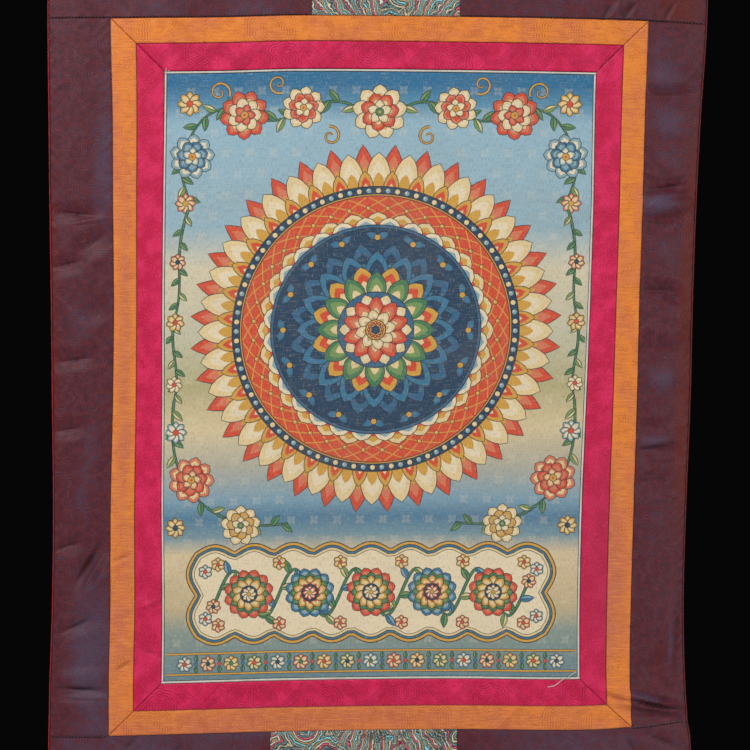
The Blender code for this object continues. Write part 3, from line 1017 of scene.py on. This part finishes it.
def draw_medallion(drawing):
    """The great round medallion: rays of petals, a netted coral band and a dark blue flower in it."""
    at = MEDALLION

    def petals(*rings):
        """Rings of (count, start, length, width, dyes, power, turn, steps), from below up."""
        for ring in rings:
            drawing.petal_ring(at, *ring)

    def discs(*rows):
        """Discs of (radius, points, dye, width of the line round it), from below up."""
        for radius, count, dye, line in rows:
            drawing.inked(disc(*at, radius, count), dye, line)

    petals(
        (36, 138, 46, 20, "coral rose gold", 1, 5, 8),
        (36, 134, 42, 23, "cream shell gold", 0.62, 0, 8),
        (36, 132, 26, 14, "gold coral cream", 0.7, 5, 6),
    )
    discs((142, 120, "navy", 1))
    drawing.beads(at, 138.4, 92, 2.5, "cream pale")
    discs((134.6, 120, "gold", 0.8), (132.8, 120, "coral", 0.8))
    count, reach, inner, outer = 40, 22, 104, 132
    radius = np.linspace(inner, outer, 8)
    for sign in (-1, 1):
        for i in range(count):
            turn = np.radians(360 * i / count + sign * reach * (radius - inner) / (outer - inner))
            line = np.stack([at[0] + radius * np.sin(turn), at[1] + radius * np.cos(turn)], axis=-1)
            drawing.lay(stroke(line, 1), "gold")
    drawing.beads(at, 121.2, count, 2, "gold", 180 / count)
    petals(
        (28, 97, 20, 22, "cream gold coral", 0.5, 0, 7),
        (28, 94, 18, 21, "shell pale blue", 0.5, 180 / 28, 7),
    )
    discs((104, 110, "deep", 0.9), (101, 110, "navy", 0.8))
    for i in range(16):
        place = turned(np.array([(0, 92)]), 22.5 * i, *at)[0]
        for lean in (70, -70):
            drawing.nested_petal(*place, 22.5 * i + lean, 1, 11, 7, "deep blue", 0.8, 5)
        drawing.inked(disc(*place, 2.8, 9), "gold", 0.6)
    petals(
        (16, 44, 42, 24, "deep navy blue pale", 0.62, 11.25, 9),
        (16, 40, 38, 23, "blue navy deep pale", 0.62, 0, 9),
        (12, 34, 30, 21, "gold coral cream", 0.6, 15, 8),
        (12, 30, 28, 19, "green moss cream", 0.7, 0, 8),
    )
    discs((37.5, 60, "deep", 0.8))
    petals(
        (10, 16, 20, 14, "cream shell coral", 0.6, 18, 7),
        (10, 10, 23, 14, "coral rose cream", 0.6, 0, 7),
        (8, 6, 14, 11, "cream shell sand", 0.6, 11, 7),
    )
    discs((9.6, 28, "gold", 0.9))
    drawing.beads(at, 6.8, 12, 1.2, "coral")
    drawing.inked(scallop(*at, 3.4, 6, 1), "navy", 0.4)


def draw_sprays(drawing):
    """Leafy sprays with flowers above the medallion and down its sides, the same on both sides."""
    half = Drawing()
    half.leafy_stem((14, 262), (60, 300), (84, 236), (128, 262), leaves=9, length=15)
    half.leafy_stem((128, 262), (150, 276), (176, 270), (190, 232), leaves=7, length=14)
    half.leafy_stem((190, 232), (198, 206), (192, 196), (186, 178), leaves=5, length=13)
    for curl in ((158, 285, 11, 200, -1.2), (100, 292, 10, 250, 1.2), (48, 240, 10, 80, 1.2)):
        half.stem(spiral(*curl), "gold", 1.8, 0.8)
    half.peony(75, 268, 21, "cream shell rose", "rose coral", "gold", 8)
    half.peony(133, 262, 24, "coral rose cream", "cream shell", "gold", 20)
    half.peony(184, 222, 22, "pale shell blue", "blue pale", "gold", 5)
    half.rosette(187, 274, 12, "gold cream", "coral")
    half.rosette(190, 176, 10, "rose cream", "gold")
    half.leafy_stem((187, 170), (204, 120), (188, 100), (200, 60), leaves=9, length=11, steps=20)
    half.leafy_stem((200, 60), (206, 30), (192, 10), (200, -20), leaves=7, length=11, steps=16)
    half.leafy_stem((200, -20), (206, -70), (196, -104), (166, -128), leaves=8, length=14)
    half.rosette(197, 118, 8, "rose cream", "navy", 7)
    half.rosette(199, 58, 9, "gold cream", "coral", 7)
    half.rosette(200, -4, 8, "cream shell", "coral", 7)
    half.leafy_stem((166, -128), (140, -148), (110, -150), (84, -146), leaves=6, length=13)
    half.peony(182, -100, 23, "rose cream coral", "coral rose", "gold", 12)
    half.peony(132, -147, 20, "cream shell gold", "gold sand", "green", 0)
    half.rosette(198, -52, 11, "pale shell", "coral")
    half.rosette(198, -148, 10, "gold cream", "navy")
    drawing.shapes += half.shapes
    drawing.shapes += [(mirrored(outline), dye) for outline, dye in half.shapes]
    drawing.peony(0, 264, 27, "cream shell gold", "coral rose cream", "green", 0)


def draw_garland(drawing):
    """A wide lobed panel below the medallion, with a row of round flowers on a scrolling vine."""
    low, high, reach, lobe = -268, -166, 178, 8
    middle, spacing, vine_reach = (low + high) / 2, 62, 160
    t = np.linspace(0, 1, 99)
    edge = reach - 2 * reach * t
    wave = lobe * np.abs(np.sin(t * math.pi * 9))
    top = np.stack([edge, high - lobe + wave], axis=-1)
    bottom = np.stack([-edge, low + lobe - wave], axis=-1)
    t = np.linspace(0, 1, 21)[1:-1]
    bulge = reach + 9 * np.abs(np.sin(t * math.pi * 2))
    down = high - lobe - (high - low - 2 * lobe) * t
    left = np.stack([-bulge, down], axis=-1)
    panel = np.concatenate([top, left, bottom, mirrored(left)])
    for inset, dye, line in ((0, "gold", 1), (3.2, "blue", 0.8), (5.6, "cream", 0.8), (8.2, "shell", 0.6)):
        drawing.inked(grown(panel, -inset), dye, line)
    across = np.linspace(-vine_reach, vine_reach, 121)
    vine = np.stack([across, middle - 24 * np.sin(across * 2 * math.pi / spacing)], axis=-1)
    drawing.stem(vine, "green", 2.2, 2.2)
    for end in (0, -1):
        drawing.rosette(*vine[end], 7.5, "rose cream", "navy", 7)
    places = [round(3 + 114 * i / 40) for i in range(41)]
    drawing.leaves(vine, places, 58, 14, 6.6, ("green moss", "blue pale", "moss cream"))
    for i in range(-2, 3):
        at = (i * spacing, middle)
        outer, inner = ("blue pale gold", "coral") if i % 2 else ("coral rose gold", "cream")
        drawing.petal_ring(at, 12, 12, 13, 12, outer, 0.55, 15, 7)
        drawing.petal_ring(at, 12, 8, 12, 10, "green moss", 0.6, 0, 6)
        drawing.petal_ring(at, 10, 5, 12, 9, f"gold cream {inner}", 0.6, 0, 6)
        drawing.inked(disc(*at, 8.4, 20), "navy", 0.7)
        drawing.petal_ring(at, 8, 1.4, 6, 4, f"{inner} shell", 0.6, 0, 5)
        drawing.inked(disc(*at, 2, 8), "gold", 0.4)
    for i in range(6):
        for side, dyes in ((-1, "rose cream"), (1, "gold cream")):
            drawing.rosette((i - 2.5) * spacing, middle + side * 31, 7, dyes, "coral", 6)
    for side in (-1, 1):
        for end in (-1, 1):
            drawing.rosette(side * 168, middle + end * 24, 7, "pale shell", "coral", 6)


def draw_foot(drawing):
    """A row of small flowers and beads between two lines along the foot of the picture."""
    reach = PICTURE_X - 2
    for z in (-276.5, -297.5):
        for width, dye in ((2.6, "ink"), (1.6, "gold")):
            drawing.lay(stroke(np.linspace((-reach, z), (reach, z), 9), width), dye)
    dyes = ("pale shell", "rose cream", "gold cream", "moss cream")
    hearts = ("coral", "navy", "green")
    count, pitch = 17, 23.6
    for i in range(count):
        x = (i - (count - 1) / 2) * pitch
        drawing.rosette(x, -287, 8, dyes[i % 4], hearts[i % 3], 7)
        if i < count - 1:
            drawing.inked(disc(x + pitch / 2, -287, 1.8, 8), "coral" if i % 2 else "blue", 0.5)
            drawing.leaf(x + pitch / 2, -284, 0, 6, 3.4)
            drawing.leaf(x + pitch / 2, -290, 180, 6, 3.4)


def ring_of_points(x, z, step):
    """Points round a rectangle of half width x and half height z, anticlockwise from its low left corner."""
    xs = np.linspace(-x, x, 1 + round(2 * x / step))
    zs = np.linspace(-z, z, 1 + round(2 * z / step))
    points = [(across, -z) for across in xs[:-1]] + [(x, up) for up in zs[:-1]]
    return points + [(across, z) for across in xs[:0:-1]] + [(-x, up) for up in zs[:0:-1]]


def grid_of_points(x, z, cell):
    xs = np.linspace(-x + cell / 2, x - cell / 2, round(2 * x / cell))
    zs = np.linspace(-z + cell / 2, z - cell / 2, round(2 * z / cell))
    return np.stack(np.meshgrid(xs, zs), axis=-1).reshape(-1, 2).tolist()


def triangles_of(points, edges, outlines):
    """The triangles inside the outlines, the flat points they join and the outlines that each lies in."""
    places = [Vector(point) for point in points]
    found, _, faces, _, _, owners = delaunay_2d_cdt(places, edges, outlines, 1, 0.0001)
    return np.array([tuple(place) for place in found]), np.array(faces), owners


def dyed_triangles(drawing, border):
    """Triangles over the whole picture that follow the visible edges of its shapes, and the dye of each."""
    points, outlines = list(border), [list(range(len(border)))]
    for outline, _ in drawing.shapes:
        outlines.append(list(range(len(points), len(points) + len(outline))))
        points += (outline if signed_area(outline) > 0 else outline[::-1]).tolist()
    flat, faces, owners = triangles_of(points, [], outlines)
    dyes = [GROUND] + [dye for _, dye in drawing.shapes]
    colours = np.array([dyes[max(owner)] for owner in owners])
    stacked = np.concatenate([flat, np.zeros((len(flat), 1))], axis=-1)
    lookup = BVHTree.FromPolygons(stacked.tolist(), faces.tolist())

    # Only the edges with another dye on each side are seen. The rest of the stack is left out of the mesh.
    sides = np.sort(np.concatenate([faces[:, :2], faces[:, 1:], faces[:, ::2]]), axis=1)
    face_of = np.tile(np.arange(len(faces)), 3)
    order = np.lexsort((sides[:, 1], sides[:, 0]))
    sides, face_of = sides[order], face_of[order]
    paired = (sides[1:] == sides[:-1]).all(axis=1)
    differ = np.abs(colours[face_of[1:]] - colours[face_of[:-1]]).sum(axis=1) > 0
    used, places = np.unique(sides[1:][paired & differ], return_inverse=True)
    edges = (places.reshape(-1, 2) + len(border)).tolist()
    points = list(border) + flat[used].tolist()
    for inset in (1.2, 2.8):
        points += ring_of_points(-border[-1][0] - inset, -border[0][1] - inset, BORDER_STEP)
    points += grid_of_points(PICTURE_X - 3, PICTURE_Z - 3, FRONT_CELL)
    flat, faces, _ = triangles_of(points, edges, [list(range(len(border)))])
    middles = flat[faces].mean(axis=1)
    owner = [lookup.find_nearest((x, z, 0))[2] for x, z in middles.tolist()]
    return flat, faces, colours[owner]


def cloth_normals(x, z, out_at):
    """The direction that the hanging cloth faces at flat places, where out_at gives the height over them."""
    step = 0.5
    across = hung(x + step, z, out_at(x + step, z)) - hung(x - step, z, out_at(x - step, z))
    up = hung(x, z + step, out_at(x, z + step)) - hung(x, z - step, out_at(x, z - step))
    normal = np.cross(across, up)
    return normal / np.linalg.norm(normal, axis=-1)[:, None]


def nearest_places(flat, wanted):
    """Which flat place is each wanted one."""
    tree = KDTree(len(flat))
    for i, (x, z) in enumerate(flat):
        tree.insert((x, z, 0), i)
    tree.balance()
    return np.array([tree.find((x, z, 0))[1] for x, z in wanted])


def picture_cloth():
    """The woven picture: a sheet with a generic flower design, its dyes laid into the mesh."""
    drawing = Drawing()
    for draw in (draw_ground, draw_sprays, draw_medallion, draw_garland, draw_foot):
        draw(drawing)
    half_size = np.array((PICTURE_X, PICTURE_Z)) - GAP / 2
    corners = panel_corners(-PICTURE_X, -PICTURE_Z, PICTURE_X, PICTURE_Z)
    border = ring_of_points(*half_size, BORDER_STEP)
    flat, faces, dyes = dyed_triangles(drawing, border)
    back_points = list(border) + grid_of_points(PICTURE_X - 3, PICTURE_Z - 3, BACK_CELL)
    back_flat, back_faces, _ = triangles_of(back_points, [], [list(range(len(border)))])

    def out_at(x, z):
        return sewn_height(x, z, corners)

    count = len(flat)
    all_flat = np.concatenate([flat, back_flat])
    x, z = all_flat.T
    places = hung(x, z, out_at(x, z))
    places[count:, 1] += SHEET * MM
    rim = nearest_places(flat, border)
    below = nearest_places(back_flat, border) + count
    rim_quads = np.stack([np.roll(rim, -1), rim, below, np.roll(below, -1)], axis=-1)
    polygons = faces.tolist() + (back_faces[:, ::-1] + count).tolist() + rim_quads.tolist()
    mesh = named_mesh("picture", places, polygons)
    mesh.shade_smooth()

    # Each corner of a face takes the cloth's own direction there, so that thin triangles do not show.
    points = points_of_corners(mesh)
    front_corners, face_corners = 3 * len(faces), 3 * (len(faces) + len(back_faces))
    normals = cloth_normals(x, z, out_at)
    normals[count:] *= -1
    normals = normals[points]
    rim_normals = [tuple(face.normal) for face in mesh.polygons[-len(rim) :]]
    normals[face_corners:] = np.repeat(rim_normals, 4, axis=0)
    mesh.normals_split_custom_set(normals.tolist())

    set_map(mesh, "Cloth", all_flat[points])
    on_front = np.arange(len(points)) < front_corners
    on_front[face_corners:] = points[face_corners:] < count
    low = np.where(on_front, MAP_MARGIN, MAP_PICTURE_TO_REVERSE)
    span = np.where(on_front, MAP_PICTURE_FACE, MAP_PICTURE_REVERSE)
    share = all_flat[points] / (2 * half_size) + 0.5
    place = np.stack([low + span * share[:, 0], MAP_MARGIN + MAP_WHOLE * share[:, 1]], axis=-1)
    set_map(mesh, "OFBake", place)
    colours = np.tile(np.array(REVERSE_DYE), (len(points), 1))
    colours[:front_corners] = np.repeat(dyes, 3, axis=0)
    dye = mesh.color_attributes.new("Dye", "FLOAT_COLOR", "CORNER")
    dye.data.foreach_set("color", colours.ravel().astype(np.float32))

    piece = add_piece("picture_cloth", mesh, "woven_picture", "picture")


def cord_mesh(name, route, radius, sides=8, strands=0, lay_length=5):
    """A round cord along a route of points in millimetres, with strands twisted round it."""
    along = np.gradient(route, axis=0)
    along /= np.linalg.norm(along, axis=1)[:, None]
    sideways = np.cross(along, np.array((0, 1, 0)))
    sideways /= np.linalg.norm(sideways, axis=1)[:, None]
    outward = np.cross(sideways, along)
    travelled = np.concatenate([[0], np.cumsum(np.linalg.norm(np.diff(route, axis=0), axis=1))])
    turn = 2 * math.pi * np.arange(sides) / sides
    twist = 2 * math.pi * travelled[:, None] / (lay_length * max(strands, 1))
    size = radius * (1 - STRAND_DEPTH * (1 - np.cos(strands * (turn + twist))))
    ring = sideways[:, None] * np.cos(turn)[:, None] + outward[:, None] * np.sin(turn)[:, None]
    points = (route[:, None] + ring * size[..., None]).reshape(-1, 3) * MM
    index = np.arange(len(points)).reshape(len(route), sides)
    after = np.roll(index, -1, axis=1)
    quads = np.stack([index[:-1], after[:-1], after[1:], index[1:]], axis=-1).reshape(-1, 4)
    mesh = named_mesh(name, points, quads.tolist() + [index[0, ::-1].tolist(), index[-1].tolist()])
    mesh.shade_smooth()
    mesh.set_sharp_from_angle(angle=math.radians(60))
    return mesh


def flat_route(start, end, out, step):
    """A straight line on the flat cloth, carried to the hanging cloth, in millimetres."""
    (x0, z0), (x1, z1) = start, end
    share = np.linspace(0, 1, max(3, round(math.hypot(x1 - x0, z1 - z0) / step)))
    return hung(x0 + (x1 - x0) * share, z0 + (z1 - z0) * share, out) / MM


def stitch_row(name, start, end):
    """A row of short raised threads along a flat line, as one mesh."""
    start, whole = np.array(start), math.dist(start, end)
    along = (np.array(end) - start) / whole
    side = np.array((-along[1], along[0]))
    points, faces = [], []
    for i in range(int(whole / STITCH_PITCH)):
        first = len(points)
        middle = start + along * (i + 0.5) * STITCH_PITCH
        lean = 0.16 * math.sin(i * 1.7) + 0.05
        way = along + lean * side
        for share, girth, lift in STITCH_STATIONS:
            for k in range(STITCH_SIDES):
                angle = 2 * math.pi * k / STITCH_SIDES
                aside = side * math.cos(angle) * STITCH_THREAD / 2 * girth
                out = STITCH_THREAD / 2 * (lift + math.sin(angle) * girth)
                points.append((*(middle + way * share * STITCH_LENGTH + aside), out))
        index = first + np.arange(len(points) - first).reshape(-1, STITCH_SIDES)
        after = np.roll(index, -1, axis=1)
        quads = np.stack([index[:-1], after[:-1], after[1:], index[1:]], axis=-1)
        faces += quads.reshape(-1, 4).tolist() + [index[0, ::-1].tolist(), index[-1].tolist()]
    mesh = named_mesh(name, hung(*np.array(points).T), faces)
    mesh.shade_smooth()
    add_piece(name, mesh, "dark_brocade", material=STITCHING)


def panel_corners(left, low, right, high):
    half = GAP / 2
    return [
        (left + half, low + half),
        (right - half, low + half),
        (right - half, high - half),
        (left + half, high - half),
    ]


def mitred_frame(label, inner_x, inner_z, band):
    """Four strips that meet at mitres. Each has its weave laid along it, from its own place in the cloth."""
    half = GAP / 2
    ix, iz = inner_x + half, inner_z + half
    ox, oz = inner_x + band - half, inner_z + band - half
    middle = (iz + oz) / 2
    top = [(half - ix, iz), (ix - half, iz), (ox - half, oz), (half - ox, oz)]
    left = [(-ox, half - oz), (-ix, half - iz), (-ix, iz - half), (-ox, oz - half)]
    bottom = [(-x, -z) for x, z in top[2:] + top[:2]]
    right = [(-x, -z) for x, z in left[2:] + left[:2]]
    # (side, corners, is the weave turned, place in the weave)
    strips = (
        ("top", top, False, (0, -middle)),
        ("bottom", bottom, False, (118, middle + 4)),
        ("left", left, True, (53, 330)),
        ("right", right, True, (-27, 77)),
    )
    for side, corners, turn_pattern, shift in strips:
        cloth_panel(f"{label}_{side}", f"{label}_damask", corners, BAND_CELL, turn_pattern, shift)


def add_piping():
    """The twisted white cord round the picture, with a small tuft of loose ends at its upper left corner."""
    x, z = PIPING_X, PIPING_Z
    tall = z - PIPING / 2 - GAP
    wide = x + PIPING / 2
    routes = {
        "piping_top": ((-wide, z), (wide, z)),
        "piping_bottom": ((-wide, -z), (wide, -z)),
        "piping_left": ((-x, -tall), (-x, tall)),
        "piping_right": ((x, -tall), (x, tall)),
    }
    for name, (start, end) in routes.items():
        route = flat_route(start, end, -PIPING_SET_BACK, 0.9)
        mesh = cord_mesh(name, route, PIPING / 2, sides=9, strands=3, lay_length=1.9)
        add_piece(f"{name}_cord", mesh, "white_cord", name)
    # (x and z from the corner, length, angle)
    tuft = ((-0.8, 0.6, 4, 70), (0.4, 0.9, 3.2, 96), (0.9, 0.2, 3.6, 40))
    for i, (dx, dz, length, angle) in enumerate(tuft):
        share = np.linspace(0, 1, 8)
        xs = -x + dx + math.cos(math.radians(angle)) * length * share + 0.5 * np.sin(share * 3)
        zs = z + dz + math.sin(math.radians(angle)) * length * share
        route = hung(xs, zs, 0.5 + 0.6 * share) / MM
        add_piece(f"piping_tuft_{i}", cord_mesh(f"tuft_{i}", route, 0.22, sides=6), "white_cord")


def add_edge_piping():
    away = EDGE_PIPING / 2 + GAP
    for side, x in (("left", LEFT_X - away), ("right", RIGHT_X + away)):
        route = flat_route((x, HEM_Z), (x, TOP_Z), -SHEET / 2, 2.2)
        mesh = cord_mesh(f"edge_{side}", route, EDGE_PIPING / 2, strands=2, lay_length=2.6)
        add_piece(f"edge_{side}_cord", mesh, "red_edge", f"edge_{side}")


def add_loose_thread():
    x = np.linspace(LOOSE_THREAD[0][0], LOOSE_THREAD[-1][0], THREAD_STEPS + 1)
    points = hung(x, hermite(LOOSE_THREAD, x, 1), hermite(LOOSE_THREAD, x, 2))
    curve = bpy.data.curves.new("loose_thread", "CURVE")
    curve.dimensions = "3D"
    curve.bevel_depth = THREAD / 2 * MM
    curve.bevel_resolution = 3
    curve.use_fill_caps = True
    spline = curve.splines.new("POLY")
    spline.points.add(len(points) - 1)
    spline.use_smooth = True
    for spline_point, place in zip(spline.points, points):
        spline_point.co = (*place, 1)
    piece = add_piece("loose_thread", curve, "white_cord", "thread_end")


def add_seam_stitches():
    """The dark stitches that show along the upper seam of the dark cloth, and along the lower one."""
    high, low = FRAME_Z + STITCHED_IN, -FRAME_Z - STITCHED_IN
    # (place, height, left end, right end)
    rows = (
        ("upper_left", high, LEFT_X + 2, UPPER_PATCH[0] - 2),
        ("upper_right", high, UPPER_PATCH[1] + 2, RIGHT_X - 2),
        ("lower_left", low, LEFT_X + 2, -FRAME_X - 1),
        ("lower_right", low, FRAME_X + 1, RIGHT_X - 2),
    )
    for place, z, left, right in rows:
        stitch_row(f"stitches_{place}", (left, z), (right, z))


def add_cloth():
    picture_cloth()
    # (name, slot, left, low, right, high, cell, place in the weave)
    panels = [
        ("side_left", "dark_brocade", LEFT_X, -FRAME_Z, -FRAME_X, FRAME_Z, STRIP_CELL, (0, 0)),
        ("side_right", "dark_brocade", FRAME_X, -FRAME_Z, RIGHT_X, FRAME_Z, STRIP_CELL, (91, 40)),
    ]
    sections = (("upper", UPPER_PATCH, FRAME_Z, TOP_Z), ("lower", LOWER_PATCH, HEM_Z, -FRAME_Z))
    for label, (left, right), low, high in sections:
        panels += [
            (f"{label}_left", "dark_brocade", LEFT_X, low, left, high, OPEN_CELL, (17, 60)),
            (f"{label}_patch", "patch_brocade", left, low, right, high, OPEN_CELL, (0, 0)),
            (f"{label}_right", "dark_brocade", right, low, RIGHT_X, high, OPEN_CELL, (-33, 12)),
        ]
    for name, slot, *bounds, cell, shift in panels:
        cloth_panel(name, slot, panel_corners(*bounds), cell, shift=shift)
    mitred_frame("crimson", CRIMSON_X, CRIMSON_Z, CRIMSON_BAND)
    mitred_frame("orange", ORANGE_X, ORANGE_Z, ORANGE_BAND)


def add_light(name, place, target, size, power):
    light = bpy.data.lights.new(name, "AREA")
    light.shape = "RECTANGLE"
    light.size, light.size_y = size
    light.energy = power
    lamp = bpy.data.objects.new(name, light)
    lamp.location = place
    lamp.rotation_euler = (Vector(target) - Vector(place)).to_track_quat("-Z", "Y").to_euler()
    bpy.context.scene.collection.objects.link(lamp)


def add_studio():
    """A pale floor under the hem, a black surround, soft lamps and the photograph's camera."""
    z = (HEM_Z - TOP_Z) * MM - FLOOR_BELOW_HEM
    mesh = named_mesh("floor", [(-1, -1, z), (1, -1, z), (1, 1, z), (-1, 1, z)], [(0, 1, 2, 3)])
    paper = bpy.data.materials.new("Pale paper")
    paper.use_nodes = True
    paper.node_tree.nodes["Principled BSDF"].inputs["Base Color"].default_value = srgb(226, 224, 220)
    paper.node_tree.nodes["Principled BSDF"].inputs["Roughness"].default_value = 0.8
    mesh.materials.append(paper)
    floor = bpy.data.objects.new("floor", mesh)
    bpy.context.scene.collection.objects.link(floor)

    world = bpy.data.worlds.new("Dark studio")
    world.use_nodes = True
    world.node_tree.nodes["Background"].inputs["Color"].default_value = srgb(6, 6, 6)
    bpy.context.scene.world = world
    bpy.context.scene.view_settings.view_transform = "Standard"

    middle = (0, 0, -TOP_Z * MM)
    add_light("key", (-1.3, -2, 0.9), middle, (1.6, 1.2), 56)
    add_light("fill", (1.7, -2.2, -0.4), middle, (1.4, 1.6), 26)
    add_light("back", (0.3, 2.4, 0.6), middle, (1.6, 1.4), 40)

    camera_data = bpy.data.cameras.new("camera")
    camera_data.lens = CAMERA_LENS
    camera_data.sensor_width = 36
    camera_data.clip_end = 20
    camera = bpy.data.objects.new("camera", camera_data)
    pitch = Matrix.Rotation(math.radians(CAMERA_PITCH), 3, "X")
    turn = pitch @ Matrix.Rotation(math.radians(CAMERA_ROLL), 3, "Y")
    right, forward, up = (Vector(column) for column in turn.transposed())
    target = Vector((-0.5, 0, 4 - TOP_Z)) * MM
    facing = Matrix((right, up, -forward)).transposed().to_4x4()
    camera.matrix_world = Matrix.Translation(target - forward * CAMERA_DISTANCE) @ facing
    bpy.context.scene.collection.objects.link(camera)
    bpy.context.scene.camera = camera


MATERIALS = {
    "woven_picture": picture_weave(),
    "dark_brocade": dark_brocade(),
    "patch_brocade": patch_brocade(),
    "crimson_damask": crimson_damask(),
    "orange_damask": orange_damask(),
    "white_cord": cord_material("White cord", srgb(240, 236, 226), srgb(190, 180, 164), 0.75),
    "red_edge": cord_material("Red edge", srgb(196, 40, 52), srgb(130, 22, 34), 0.6, srgb(112, 52, 50)),
}
STITCHING = cord_material("Dark stitching", srgb(34, 14, 20), srgb(22, 10, 14), 0.7)

add_studio()
add_cloth()
add_piping()
add_edge_piping()
add_loose_thread()
add_seam_stitches()
